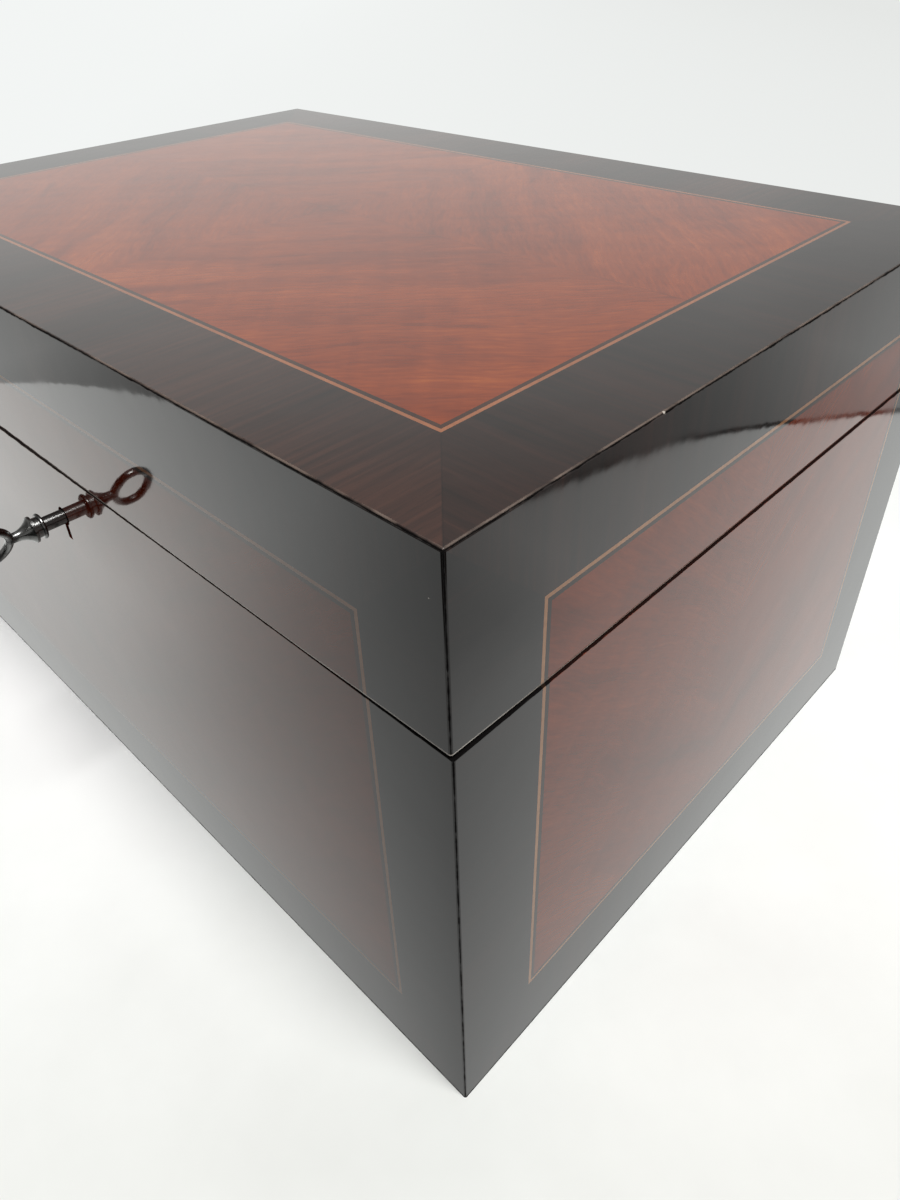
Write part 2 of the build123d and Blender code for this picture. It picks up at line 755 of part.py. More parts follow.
def lock_spring():
    """The leaf that rubs on the bolt's lower edge, hooked round the right pillar."""
    x, z = PILLAR_PLACES[1][0], SEAM + PILLAR_PLACES[1][1]
    reach = PILLAR + SPRING_FIT
    touch = SEAM - BOLT_BAR_LOW - SPRING_PLAY - SPRING_STRIP
    half_crest = radians(SPRING_CREST / 2)
    crest_rise = SPRING_CREST_RADIUS * (1 - cos(half_crest))
    rise = SPRING_BEND * cos(half_crest) + SPRING_ARM * sin(half_crest) + crest_rise
    hook = CenterArc((x, z), reach, 180, 180)
    stem = Line((x + reach, z), (x + reach, touch - rise))
    bend = JernArc(stem @ 1, stem % 1, SPRING_BEND, 90 - SPRING_CREST / 2)
    arm = Line(bend @ 1, bend @ 1 + (bend % 1) * SPRING_ARM)
    crest = JernArc(arm @ 1, arm % 1, SPRING_CREST_RADIUS, SPRING_CREST)
    inner_line = Wire([hook, stem, bend, arm, crest])
    strip = make_face(inner_line.offset_2d(SPRING_STRIP, side=Side.RIGHT))
    back = BOLT_MIDDLE + SPRING_WIDTH / 2
    plane = Plane(origin=(0, back, 0), x_dir=(1, 0, 0), z_dir=(0, -1, 0))
    return extrude(plane * strip, SPRING_WIDTH).solid()


def link_plate():
    """The lid's plate with its two staples, each pierced along X for a finger."""
    z = (SEAM + LINK_GAP, SEAM + LINK_GAP + LINK_PLATE)
    y = (BOLT_MIDDLE - LINK_WIDTH / 2, BOLT_MIDDLE + LINK_WIDTH / 2)
    plate = block((-LINK_HALF_LENGTH, LINK_HALF_LENGTH), y, z)
    staple_y = (BOLT_MIDDLE - STAPLE_WIDTH / 2, BOLT_MIDDLE + STAPLE_WIDTH / 2)
    eye_y = (staple_y[0] + STAPLE_WALL, staple_y[1] - STAPLE_WALL)
    eye_z = (SEAM - FINGER_LOW - STAPLE_CLEAR, SEAM - FINGER_HIGH + STAPLE_CLEAR)
    for middle in staple_middles():
        x = (middle - STAPLE_THICK / 2, middle + STAPLE_THICK / 2)
        plate += block(x, staple_y, (SEAM - STAPLE_DEEP, z[1]))
        plate -= block((x[0] - 1, x[1] + 1), eye_y, eye_z)
    for hole in placed(wood_screw_hole(), link_screw_places()):
        plate -= hole
    return plate.solid()


def link_mortise():
    """What the lid's front wall loses for the link plate."""
    y = (BOLT_MIDDLE - LINK_WIDTH / 2, BOLT_MIDDLE + LINK_WIDTH / 2)
    x = (-LINK_HALF_LENGTH, LINK_HALF_LENGTH)
    return block(x, y, (SEAM - PAST, SEAM + LINK_GAP + LINK_PLATE))


# ---------------------------------------------------------------- key


def key_turning():
    """The turned part of the key: pipe, ring, groove, flare and neck, along -Y from the lock."""
    tip = SPACE_BACK - STEM_END_GAP
    ring = FRONT - RING_FROM_FACE
    groove = ring - RING_WIDTH
    flare = groove - GROOVE_WIDTH
    neck = FRONT - NECK_FROM_FACE
    with_bow = neck - 2 * BOW_SINK
    profile = [
        Line((0, tip), (STEM, tip)),
        Line((STEM, tip), (STEM, ring)),
        Line((STEM, ring), (RING_RADIUS - RING_WIDTH / 2, ring)),
        ThreePointArc(
            (RING_RADIUS - RING_WIDTH / 2, ring),
            (RING_RADIUS, ring - RING_WIDTH / 2),
            (RING_RADIUS - RING_WIDTH / 2, groove),
        ),
        Line((RING_RADIUS - RING_WIDTH / 2, groove), (GROOVE_RADIUS, groove)),
        Line((GROOVE_RADIUS, groove), (GROOVE_RADIUS, flare)),
        Line((GROOVE_RADIUS, flare), (FLARE_RADIUS, flare)),
        Line((FLARE_RADIUS, flare), (FLARE_RADIUS, flare - FLARE_RIM)),
    ]
    waist = (NECK_RADIUS, neck)
    profile += [
        TangentArc(waist, (FLARE_RADIUS, flare - FLARE_RIM), tangent=(0, 1)),
        Line(waist, (NECK_RADIUS, with_bow)),
        Line((NECK_RADIUS, with_bow), (0, with_bow)),
        Line((0, with_bow), (0, tip)),
    ]
    return revolve(make_face(Wire(profile)), Axis.Y)


def oval(length, width):
    """An oval of four tangent arcs, as long as length along X and as wide as width along Y."""
    short, long = sorted((length / 2, width / 2))
    tight = OVAL_TIGHTNESS * short
    broad = (short**2 + long**2 - 2 * long * tight) / (2 * (short - tight))
    turn = degrees(atan2(long - tight, broad - short))
    arcs = [
        CenterArc((short - broad, 0), broad, -turn, 2 * turn),
        CenterArc((0, long - tight), tight, turn, 180 - 2 * turn),
        CenterArc((broad - short, 0), broad, 180 - turn, 2 * turn),
        CenterArc((0, tight - long), tight, 180 + turn, 180 - 2 * turn),
    ]
    return Rot(0, 0, 90 if length > width else 0) * make_face(arcs)


def key_bow():
    """The oval ring of the key, standing upright in the YZ plane."""
    middle = FRONT - NECK_FROM_FACE - BOW_LENGTH / 2 - BOW_SINK / 2
    plane = Plane(origin=(-BOW_THICK / 2, middle, 0), x_dir=(0, 1, 0), z_dir=(1, 0, 0))
    ring = oval(BOW_LENGTH, BOW_WIDTH) - oval(BOW_HOLE_LENGTH, BOW_HOLE_WIDTH)
    bow = extrude(plane * ring, BOW_THICK)
    return fillet(bow.edges(), BOW_ROUND)


def key_bit():
    """The bit, upright above the pipe, with one ward cut."""
    tip = SPACE_BACK - STEM_END_GAP
    half = BIT_THICK / 2
    bit = block((-half, half), (tip - BIT_LENGTH, tip), (STEM / 2, BIT_REACH))
    ward = tip - BIT_LENGTH * 0.28
    bit -= block((-half - 1, half + 1), (ward - BIT_WARD / 2, ward + BIT_WARD / 2), (STEM + 1, BIT_REACH + 1))
    return bit


def key():
    """The whole key, turned to where it stands at rest."""
    tip = SPACE_BACK - STEM_END_GAP
    body = key_turning() + key_bow() + key_bit()
    body -= rod_y(DRILL_PIN + STEM_BORE_CLEARANCE, tip - STEM_BORE_DEPTH, tip + 1, 0, 0)
    return (Pos(0, 0, KEY_Z) * Rot(0, KEY_TURN_AT_REST, 0) * body).solid()


# ---------------------------------------------------------------- assembly


def base_nodes():
    """Every node of the base."""
    groove, pocket = stop_groove(), lock_pocket()
    mortises = hinge_mortises()
    screw_holes = placed(wood_screw_hole(), base_hinge_screw_places() + lock_screw_places())
    tools = [bottom_board(), groove, pocket, *mortises, *screw_holes]
    nodes = {
        f"base_{name}_board": solids
        for name, solids in dovetailed_walls(0, SEAM - RIM_VENEER, tools).items()
    }
    nodes["base_bottom_board"] = bottom_board()
    sides = ("front", "back", "left", "right")
    hole = keyhole(FRONT - PAST, LOCK_BACK)
    nodes |= veneer_half("base", base_block(), sides, [groove, hole, *mortises])
    nodes["base_rim_veneer"] = rim_veneers(SEAM - RIM_VENEER, SEAM, [groove, pocket, *mortises])
    low, high = BOTTOM_BOARD + FLOOR_PAD + PAD_GAP, SEAM - PAD_BELOW_RIM
    pads = wall_pads(low, high)
    pads["front"] = cut(pads["front"], lock_opening())
    nodes |= {f"base_{name}_pad": pad for name, pad in pads.items()}
    nodes["base_floor_pad"] = floor_pad()
    nodes["hinge_base_leaves"] = base_leaves()
    nodes["hinge_pins"] = hinge_pins()
    nodes["hinge_base_screws"] = placed(wood_screw(), base_hinge_screw_places())
    return nodes


def lock_nodes():
    """The fixed parts of the lock."""
    return {
        "lock_plate": lock_plate(),
        "lock_cap": lock_cap(),
        "lock_cap_screws": placed(cap_screw(), cap_screw_places()),
        "lock_pillars": lock_pillars(),
        "lock_studs": lock_studs(),
        "lock_drill_pin": drill_pin(),
        "lock_spring": lock_spring(),
        "lock_screws": placed(wood_screw(), lock_screw_places()),
    }


def lid_case():
    """The wood and lining of the lid, made square on the base and cut for hardware that stands LID_SLIP off."""
    slipped = Pos(LID_SLIP, 0, 0)
    groove, link, lift = stop_groove(), slipped * link_mortise(), corner_lift()
    mortises = [slipped * mortise for mortise in hinge_mortises()]
    screws = placed(wood_screw_hole(), lid_hinge_screw_places() + link_screw_places())
    tools = [groove, link, lift, *mortises, *[slipped * hole for hole in screws]]
    nodes = {
        f"lid_{name}_board": solids
        for name, solids in dovetailed_walls(SEAM + RIM_VENEER, LID_CEILING, tools).items()
    }
    nodes["lid_top_board"] = top_board()
    faces = ("front", "back", "left", "right", "top")
    nodes |= veneer_half("lid", lid_block(), faces, [groove, lift, *mortises])
    nodes["lid_rim_veneer"] = rim_veneers(SEAM, SEAM + RIM_VENEER, [groove, link, lift, *mortises])
    low, high = SEAM + PAD_BELOW_RIM, LID_CEILING - CEILING_PAD - PAD_GAP
    nodes["lid_wall_pads"] = list(wall_pads(low, high).values())
    nodes["lid_ceiling_pad"] = ceiling_pad()
    return nodes


def lid_nodes():
    """Every node of the lid."""
    nodes = {
        name: [Pos(-LID_SLIP, 0, 0) * solid for solid in solids_of(shapes)]
        for name, shapes in lid_case().items()
    }
    nodes["hinge_lid_leaves"] = lid_leaves()
    nodes["hinge_lid_screws"] = placed(wood_screw(), lid_hinge_screw_places())
    nodes["lock_link_plate"] = link_plate()
    nodes["lock_link_screws"] = placed(wood_screw(), link_screw_places())
    return nodes


def main():
    os.makedirs("parts", exist_ok=True)
    nodes = base_nodes() | lock_nodes() | lid_nodes() | {"lock_bolt": bolt(), "key": key()}
    for name, shapes in nodes.items():
        solids = solids_of(shapes)
        export_step(solids[0] if len(solids) == 1 else Compound(children=solids), f"parts/{name}.step")


main()
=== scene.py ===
import math

import bmesh
import bpy
import numpy as np
from mathutils import Matrix, Vector


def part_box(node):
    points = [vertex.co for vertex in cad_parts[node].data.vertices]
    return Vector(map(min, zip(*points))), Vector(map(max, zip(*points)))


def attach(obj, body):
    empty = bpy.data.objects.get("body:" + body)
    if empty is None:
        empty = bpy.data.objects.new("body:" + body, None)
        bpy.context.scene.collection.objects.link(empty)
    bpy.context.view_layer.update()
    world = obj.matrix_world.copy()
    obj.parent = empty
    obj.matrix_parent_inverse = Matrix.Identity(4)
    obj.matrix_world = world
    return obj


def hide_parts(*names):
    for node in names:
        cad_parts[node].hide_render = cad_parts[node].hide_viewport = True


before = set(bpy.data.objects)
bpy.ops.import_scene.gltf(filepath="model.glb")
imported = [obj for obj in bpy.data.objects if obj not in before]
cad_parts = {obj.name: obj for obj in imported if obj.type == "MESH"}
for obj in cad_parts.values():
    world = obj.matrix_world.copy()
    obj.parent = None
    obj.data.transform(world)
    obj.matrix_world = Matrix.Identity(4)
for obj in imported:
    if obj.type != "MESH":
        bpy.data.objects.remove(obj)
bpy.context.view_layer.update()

# ---------------------------------------------------------------- sizes of the box, in metres
WIDTH, DEPTH, HEIGHT, SEAM = 0.300, 0.208, 0.168, 0.125
HALF_W, HALF_D = WIDTH / 2, DEPTH / 2
TOP_BORDER, LEVEL_BORDER, FRONT_BORDER, END_BORDER = 0.024, 0.0222, 0.021, 0.0234
# the lid sits LID_SLIP to the left, and its near corner stands CORNER_LIFT off the base, falling to nothing
LID_SLIP, CORNER_LIFT, LIFT_ALONG_SIDE, LIFT_ALONG_FRONT = 0.0005, 0.0008, 0.036, 0.060
# a point of a string this close to a face belongs to that face, a little more than the string's own 1 mm
STRING_DEPTH = 0.0015


# ---------------------------------------------------------------- writing shader nodes
class Bench:
    """Lays shader nodes in one tree. Arguments are sockets or plain values."""

    def __init__(self, tree):
        self.tree = tree

    def node(self, kind, **settings):
        made = self.tree.nodes.new(kind)
        for key, value in settings.items():
            setattr(made, key, value)
        return made

    def feed(self, socket, value):
        if value is None:
            return
        if isinstance(value, bpy.types.NodeSocket):
            self.tree.links.new(value, socket)
        else:
            socket.default_value = value

    def math(self, operation, a, b=None, c=None):
        made = self.node("ShaderNodeMath", operation=operation)
        for socket, value in zip(made.inputs, (a, b, c)):
            self.feed(socket, value)
        return made.outputs[0]

    def measure(self, operation, a, b=None):
        """A LENGTH or a DISTANCE."""
        made = self.node("ShaderNodeVectorMath", operation=operation)
        self.feed(made.inputs[0], a)
        self.feed(made.inputs[1], b)
        return made.outputs["Value"]

    def split(self, vector):
        made = self.node("ShaderNodeSeparateXYZ")
        self.feed(made.inputs[0], vector)
        return made.outputs[0], made.outputs[1], made.outputs[2]

    def join(self, x=0.0, y=0.0, z=0.0):
        made = self.node("ShaderNodeCombineXYZ")
        for socket, value in zip(made.inputs, (x, y, z)):
            self.feed(socket, value)
        return made.outputs[0]

    def stretch(self, vector, scale, move=(0.0, 0.0, 0.0)):
        made = self.node("ShaderNodeMapping")
        self.feed(made.inputs["Vector"], vector)
        made.inputs["Scale"].default_value = scale
        made.inputs["Location"].default_value = move
        return made.outputs[0]

    def noise(self, vector, detail=2.0, rough=0.5, bend=0.0):
        made = self.node("ShaderNodeTexNoise")
        self.feed(made.inputs["Vector"], vector)
        made.inputs["Scale"].default_value = 1.0
        made.inputs["Detail"].default_value = detail
        made.inputs["Roughness"].default_value = rough
        made.inputs["Distortion"].default_value = bend
        return made.outputs["Fac"]

    def span(self, value, low, high, out_low=0.0, out_high=1.0, smooth=False):
        """The value carried from low..high to out_low..out_high and held there."""
        made = self.node("ShaderNodeMapRange", clamp=True)
        made.interpolation_type = "SMOOTHSTEP" if smooth else "LINEAR"
        for socket, item in zip(made.inputs, (value, low, high, out_low, out_high)):
            self.feed(socket, item)
        return made.outputs[0]

    def ramp(self, value, stops):
        made = self.node("ShaderNodeValToRGB")
        steps = made.color_ramp.elements
        while len(steps) < len(stops):
            steps.new(0.5)
        for step, (place, colour) in zip(steps, stops):
            step.position = place
            step.color = (*colour, 1.0)
        self.feed(made.inputs[0], value)
        return made.outputs[0]

    def greys(self, value, stops):
        """A ramp of plain greys, from {place: grey}."""
        return self.ramp(value, [(place, (grey,) * 3) for place, grey in stops.items()])

    def mix(self, share, a, b, blend="MIX"):
        made = self.node("ShaderNodeMix", data_type="RGBA", blend_type=blend)
        for key, value in ((0, share), (6, a), (7, b)):
            if isinstance(value, tuple) and len(value) == 3:
                value = (*value, 1.0)
            self.feed(made.inputs[key], value)
        return made.outputs[2]

    def bump(self, height, strength, distance):
        made = self.node("ShaderNodeBump")
        made.inputs["Strength"].default_value = strength
        made.inputs["Distance"].default_value = distance
        self.feed(made.inputs["Height"], height)
        return made.outputs[0]

    def use(self, group, **inputs):
        """Places a node group and gives its outputs by name."""
        made = self.node("ShaderNodeGroup", node_tree=group)
        for key, value in inputs.items():
            self.feed(made.inputs[key.replace("_", " ")], value)
        return {socket.name: socket for socket in made.outputs}


SOCKETS = {"value": "NodeSocketFloat", "vector": "NodeSocketVector"}


def effect(name, takes, gives):
    """Makes an empty node group with named inputs and outputs. Returns its bench, inputs and a closing call."""
    tree = bpy.data.node_groups.new(name, "ShaderNodeTree")
    for label, (kind, start) in takes.items():
        socket = tree.interface.new_socket(label, in_out="INPUT", socket_type=SOCKETS[kind])
        if start is not None:
            socket.default_value = start
    for label, kind in gives.items():
        tree.interface.new_socket(label, in_out="OUTPUT", socket_type=SOCKETS[kind])
    bench = Bench(tree)
    inside = tree.nodes.new("NodeGroupInput")
    outside = tree.nodes.new("NodeGroupOutput")

    def close(**outputs):
        for key, value in outputs.items():
            bench.feed(outside.inputs[key.replace("_", " ")], value)
        return tree

    return bench, inside.outputs, close


# ---------------------------------------------------------------- effects that several finishes share
def make_book_match():
    """Folds a flat position about one or both middle lines, as matched leaves are laid, and turns it to the grain.

    Along = |u| cos a + |v| sin a and across = |v| cos a - |u| sin a, with v itself for |v| where Fold V is 0."""
    b, take, close = effect(
        "book match",
        {"Position": ("vector", None), "Fold V": ("value", 0.0),
         "Grain cos": ("value", 1.0), "Grain sin": ("value", 0.0)},
        {"Grain": "vector", "Joint": "value"},
    )
    u, v, _ = b.split(take["Position"])
    cos, sin = take["Grain cos"], take["Grain sin"]
    folded_u = b.math("ABSOLUTE", u)
    unfolded_v = b.math("MULTIPLY", v, b.math("SUBTRACT", 1.0, take["Fold V"]))
    folded_v = b.math("ADD", b.math("MULTIPLY", b.math("ABSOLUTE", v), take["Fold V"]), unfolded_v)
    along = b.math("ADD", b.math("MULTIPLY", folded_u, cos), b.math("MULTIPLY", folded_v, sin))
    across = b.math("SUBTRACT", b.math("MULTIPLY", folded_v, cos), b.math("MULTIPLY", folded_u, sin))
    side = b.math("GREATER_THAN", u, 0.0)
    end = b.math("MULTIPLY", b.math("GREATER_THAN", v, 0.0), take["Fold V"])
    leaf = b.math("ADD", side, b.math("MULTIPLY", end, 2.0))
    # the successive leaves differ a little, so the match is close but not exact
    slip = b.math("MULTIPLY", leaf, 0.0011)
    joint_u = b.span(folded_u, 0.00004, 0.00016, 1.0, 0.0)
    joint_v = b.math("MULTIPLY", b.span(b.math("ABSOLUTE", v), 0.00004, 0.00016, 1.0, 0.0), take["Fold V"])
    return close(
        Grain=b.join(b.math("ADD", along, slip), b.math("ADD", across, slip), b.math("MULTIPLY", leaf, 0.0006)),
        Joint=b.math("MAXIMUM", joint_u, joint_v),
    )


def make_wood_grain():
    """Growth bands, fibres, pores, streaks, cross ripple, dark flames and clouds. Grain has X along and Y across."""
    b, take, close = effect(
        "wood grain",
        {"Grain": ("vector", None), "Wander": ("value", 1.0)},
        dict.fromkeys(("Bands", "Fibres", "Pores", "Streaks", "Ripple", "Flames", "Cloud"), "value"),
    )
    along, across, deep = b.split(take["Grain"])
    drift = b.noise(b.stretch(take["Grain"], (14.0, 26.0, 14.0)), detail=2.0)
    drift = b.math("MULTIPLY", b.math("SUBTRACT", drift, 0.5), 0.016)
    across = b.math("ADD", across, b.math("MULTIPLY", drift, take["Wander"]))
    grain = b.join(along, across, deep)
    bands = b.noise(b.stretch(grain, (5.0, 62.0, 30.0)), detail=3.0, rough=0.55)
    fibres = b.noise(b.stretch(grain, (60.0, 1500.0, 300.0)), detail=2.0, rough=0.6)
    pores = b.noise(b.stretch(grain, (330.0, 4200.0, 900.0), move=(0.4, 0.9, 0.0)), detail=1.0)
    streaks = b.noise(b.stretch(grain, (150.0, 820.0, 300.0), move=(5.3, 1.9, 0.0)), detail=2.0, rough=0.55, bend=0.4)
    ripple = b.noise(b.stretch(grain, (150.0, 24.0, 30.0)), detail=2.0, rough=0.5, bend=0.6)
    flames = b.noise(b.stretch(grain, (17.0, 96.0, 60.0), move=(3.1, 7.7, 0.0)), detail=3.0, rough=0.5, bend=0.5)
    cloud = b.noise(b.stretch(grain, (11.0, 20.0, 15.0), move=(9.0, 2.0, 0.0)), detail=2.0)
    return close(
        Bands=bands,
        Fibres=fibres,
        Pores=b.span(pores, 0.58, 0.74),
        Streaks=streaks,
        Ripple=ripple,
        Flames=b.span(flames, 0.50, 0.78, smooth=True),
        Cloud=cloud,
    )


def make_mitre():
    """Picks which strip of a crossbanded border a point lies on. Grain runs square to the outer edge of its strip.

    The mitre runs where the distances to the two outer edges are in the ratio of the two strips' widths."""
    b, take, close = effect(
        "mitred border",
        {"Position": ("vector", None), "Half U": ("value", 0.1), "Low V": ("value", 0.0), "High V": ("value", 0.1),
         "Upright width": ("value", 0.02), "Level width": ("value", 0.02)},
        {"Grain": "vector", "Upright": "value", "Joint": "value"},
    )
    u, v, _ = b.split(take["Position"])
    to_side = b.math("DIVIDE", b.math("SUBTRACT", take["Half U"], b.math("ABSOLUTE", u)), take["Upright width"])
    to_end = b.math("MINIMUM", b.math("SUBTRACT", v, take["Low V"]), b.math("SUBTRACT", take["High V"], v))
    to_end = b.math("DIVIDE", to_end, take["Level width"])
    upright = b.math("LESS_THAN", to_side, to_end)
    level = b.math("SUBTRACT", 1.0, upright)
    along = b.math("ADD", b.math("MULTIPLY", u, upright), b.math("MULTIPLY", v, level))
    across = b.math("ADD", b.math("MULTIPLY", v, upright), b.math("MULTIPLY", u, level))
    side = b.math("SIGN", u)
    number = b.math("ADD", b.math("MULTIPLY", upright, side), b.math("MULTIPLY", level, 3.0))
    joint = b.span(b.math("ABSOLUTE", b.math("SUBTRACT", to_side, to_end)), 0.003, 0.012, 1.0, 0.0)
    return close(Grain=b.join(along, across, b.math("MULTIPLY", number, 0.037)), Upright=upright, Joint=joint)


def make_polish():
    """French polish: a faint rubbed ripple, pores that never quite filled, and a slight bloom of handling."""
    b, take, close = effect(
        "french polish",
        {"Position": ("vector", None), "Pores": ("value", 0.0)},
        {"Height": "value", "Roughness": "value"},
    )
    rubs = b.noise(b.stretch(take["Position"], (60.0, 60.0, 60.0)), detail=2.0)
    swirls = b.noise(b.stretch(take["Position"], (420.0, 420.0, 420.0)), detail=1.0)
    height = b.math("ADD", b.math("MULTIPLY", rubs, 0.9), b.math("MULTIPLY", swirls, 0.06))
    height = b.math("SUBTRACT", height, b.math("MULTIPLY", take["Pores"], 0.003))
    bloom = b.noise(b.stretch(take["Position"], (22.0, 22.0, 22.0)), detail=4.0, rough=0.6)
    return close(Height=height, Roughness=b.span(bloom, 0.4, 0.75, 0.035, 0.075, smooth=True))


def make_case_position():
    """The position on the closed box, with the lid's small slip to the left taken off."""
    b, take, close = effect("case position", {"Position": ("vector", None)}, {"Place": "vector"})
    x, y, z = b.split(take["Position"])
    lid = b.math("GREATER_THAN", z, SEAM)
    return close(Place=b.join(b.math("ADD", x, b.math("MULTIPLY", lid, LID_SLIP)), y, z))


def make_arris():
    """Where the outer edges of the box carry painted shade near black, and where they are rubbed through or chipped,
    with a ragged border.

    Near an upright edge the larger of the distances to the two faces is small. Under the top and at the seam the height
    from that edge is small on the outer faces."""
    b, take, close = effect("arris", {"Position": ("vector", None)}, dict.fromkeys(("Edge", "Wear", "Chips"), "value"))
    x, y, z = b.split(take["Position"])
    dx = b.math("ABSOLUTE", b.math("SUBTRACT", HALF_W, b.math("ABSOLUTE", x)))
    dy = b.math("ABSOLUTE", b.math("SUBTRACT", HALF_D, b.math("ABSOLUTE", y)))
    ragged = b.noise(b.stretch(take["Position"], (240.0,) * 3), detail=4.0, rough=0.65)
    ragged = b.math("SUBTRACT", ragged, 0.5)
    # painted shade: near black along the upright edges, under the top, at the seam and at the foot, for the dark the
    # rounded edges mirror and the shade in the seam and along the foot
    upright = b.math("ADD", b.math("MAXIMUM", dx, dy), b.math("MULTIPLY", ragged, 0.0005))
    upright = b.span(upright, 0.00018, 0.00038, 1.0, 0.0, smooth=True)
    outer = b.span(b.math("MINIMUM", dx, dy), 0.0002, 0.0005, 1.0, 0.0)
    shade_under_top = b.math("ADD", b.math("SUBTRACT", HEIGHT, z), b.math("MULTIPLY", ragged, 0.0011))
    shade_under_top = b.span(shade_under_top, 0.00030, 0.00054, 1.0, 0.0, smooth=True)
    seam = b.math("ADD", b.math("ABSOLUTE", b.math("SUBTRACT", z, SEAM)), b.math("MULTIPLY", ragged, 0.0008))
    # the painted shade in the seam is blacker and broader towards the left
    seam = b.math("MULTIPLY", seam, b.span(x, -0.02, 0.13, 0.42, 1.5, smooth=True))
    seam = b.span(seam, 0.00024, 0.00046, 1.0, 0.0, smooth=True)
    foot_shade = b.span(b.math("ADD", z, b.math("MULTIPLY", ragged, 0.0010)), 0.00040, 0.00090, 1.0, 0.0, smooth=True)
    level = b.math("MAXIMUM", b.math("MULTIPLY", outer, b.math("MAXIMUM", shade_under_top, foot_shade)), seam)
    # lighter along the top's own edge: rubbed-through wood, and in part a painted highlight
    worn = b.stretch(take["Position"], (90.0,) * 3, move=(4.0, 1.0, 2.0))
    worn = b.span(b.noise(worn, detail=4.0, rough=0.6), 0.36, 0.56)
    near = b.math("MINIMUM", dx, dy)
    crest = b.span(b.math("SUBTRACT", HEIGHT, z), 0.00010, 0.00022, 1.0, 0.0)
    crest = b.math("MULTIPLY", crest, b.span(near, 0.00045, 0.00065, 1.0, 0.0))
    # the lid's lower edge rises towards the near corner
    from_side = b.math("DIVIDE", b.math("SUBTRACT", HALF_W, x), LIFT_ALONG_FRONT)
    from_front = b.math("DIVIDE", b.math("ADD", HALF_D, y), LIFT_ALONG_SIDE)
    risen = b.math("SUBTRACT", 1.0, b.math("ADD", from_side, from_front))
    edge_height = b.math("MAXIMUM", b.math("MULTIPLY", risen, CORNER_LIFT), 0.00018)
    # a painted highlight: a pale line along the lid's lower edge, towards the near corner
    lip_highlight = b.math("SUBTRACT", b.math("SUBTRACT", z, SEAM + 0.00016), edge_height)
    lip_highlight = b.span(b.math("ABSOLUTE", lip_highlight), 0.00010, 0.00020, 1.0, 0.0)
    lip_highlight = b.math("MULTIPLY", lip_highlight, b.math("MULTIPLY", b.span(x, -0.02, 0.06), b.span(y, 0.0, -0.06, 0.35, 1.0)))
    lip_highlight = b.math("MULTIPLY", lip_highlight, b.span(near, 0.0002, 0.0006, 1.0, 0.0))
    lip_highlight = b.math("MULTIPLY", lip_highlight, b.span(worn, 0.0, 1.0, 0.45, 1.0))
    chips = 0.0
    for chip, size in (((0.1500, -0.0491, 0.1680), 0.0005), ((0.1466, -0.1040, 0.1577), 0.0002)):
        away = b.math("ADD", b.measure("DISTANCE", take["Position"], chip), b.math("MULTIPLY", ragged, 0.0004))
        chips = b.math("MAXIMUM", chips, b.span(away, size * 0.6, size, 1.0, 0.0))
    wear_and_highlight = b.math("MULTIPLY", crest, b.math("MULTIPLY", worn, 0.5))
    # the chips also carry the painted highlight along the lid's lower edge
    chips = b.math("MAXIMUM", chips, b.math("MULTIPLY", lip_highlight, 0.95))
    return close(Edge=b.math("MAXIMUM", upright, level), Wear=wear_and_highlight, Chips=chips)


def make_quilting():
    """Diamond quilting on a UV map that counts diamonds: the sewn lines, their stitches, and the puckers beside them.

    The two families of lines run where u + v and u - v are whole numbers."""
    gives = dict.fromkeys(("Line", "Stitch", "Height"), "value")
    b, take, close = effect("diamond quilting", {"Cells": ("vector", None)}, gives)
    u, v, _ = b.split(take["Cells"])
    count = {"rising": b.math("SUBTRACT", u, v), "falling": b.math("ADD", u, v)}
    line, stitch, pucker = 0.0, 0.0, 0.0
    for own, other in (("rising", "falling"), ("falling", "rising")):
        away = b.math("PINGPONG", count[own], 0.5)
        near = b.span(away, 0.012, 0.03, 1.0, 0.0)
        dash = b.math("LESS_THAN", b.math("FRACT", b.math("MULTIPLY", count[other], 7.0)), 0.66)
        folds = b.join(b.math("MULTIPLY", count[other], 17.0), b.math("MULTIPLY", count[own], 2.4))
        folds = b.math("SUBTRACT", b.noise(folds, detail=2.0, rough=0.55), 0.5)
        line = b.math("MAXIMUM", line, near)
        stitch = b.math("MAXIMUM", stitch, b.math("MULTIPLY", b.span(away, 0.008, 0.018, 1.0, 0.0), dash))
        beside = b.span(away, 0.0, 0.26, 1.0, 0.0, smooth=True)
        pucker = b.math("ADD", pucker, b.math("MULTIPLY", folds, beside))
    height = b.math("SUBTRACT", b.math("MULTIPLY", pucker, 0.9), b.math("MULTIPLY", line, 0.35))
    return close(Line=line, Stitch=stitch, Height=b.math("ADD", height, b.math("MULTIPLY", stitch, 0.12)))


def make_satin():
    """Satin weave: long threads one way and short ones across them, with slubs and a slow drift in the dye."""
    b, take, close = effect("satin weave", {"Position": ("vector", None)}, {"Thread": "value", "Drift": "value"})
    long_threads = b.noise(b.stretch(take["Position"], (900.0, 6500.0, 6500.0)), detail=1.0)
    slubs = b.noise(b.stretch(take["Position"], (240.0, 2600.0, 2600.0), move=(2.0, 5.0, 1.0)), detail=2.0)
    drift = b.noise(b.stretch(take["Position"], (26.0, 26.0, 26.0)), detail=3.0)
    thread = b.math("ADD", b.math("MULTIPLY", long_threads, 0.6), b.math("MULTIPLY", slubs, 0.4))
    return close(Thread=thread, Drift=drift)


BOOK_MATCH = make_book_match()
WOOD_GRAIN = make_wood_grain()
MITRE = make_mitre()
POLISH = make_polish()
QUILTING = make_quilting()
SATIN = make_satin()
CASE_POSITION = make_case_position()
ARRIS = make_arris()


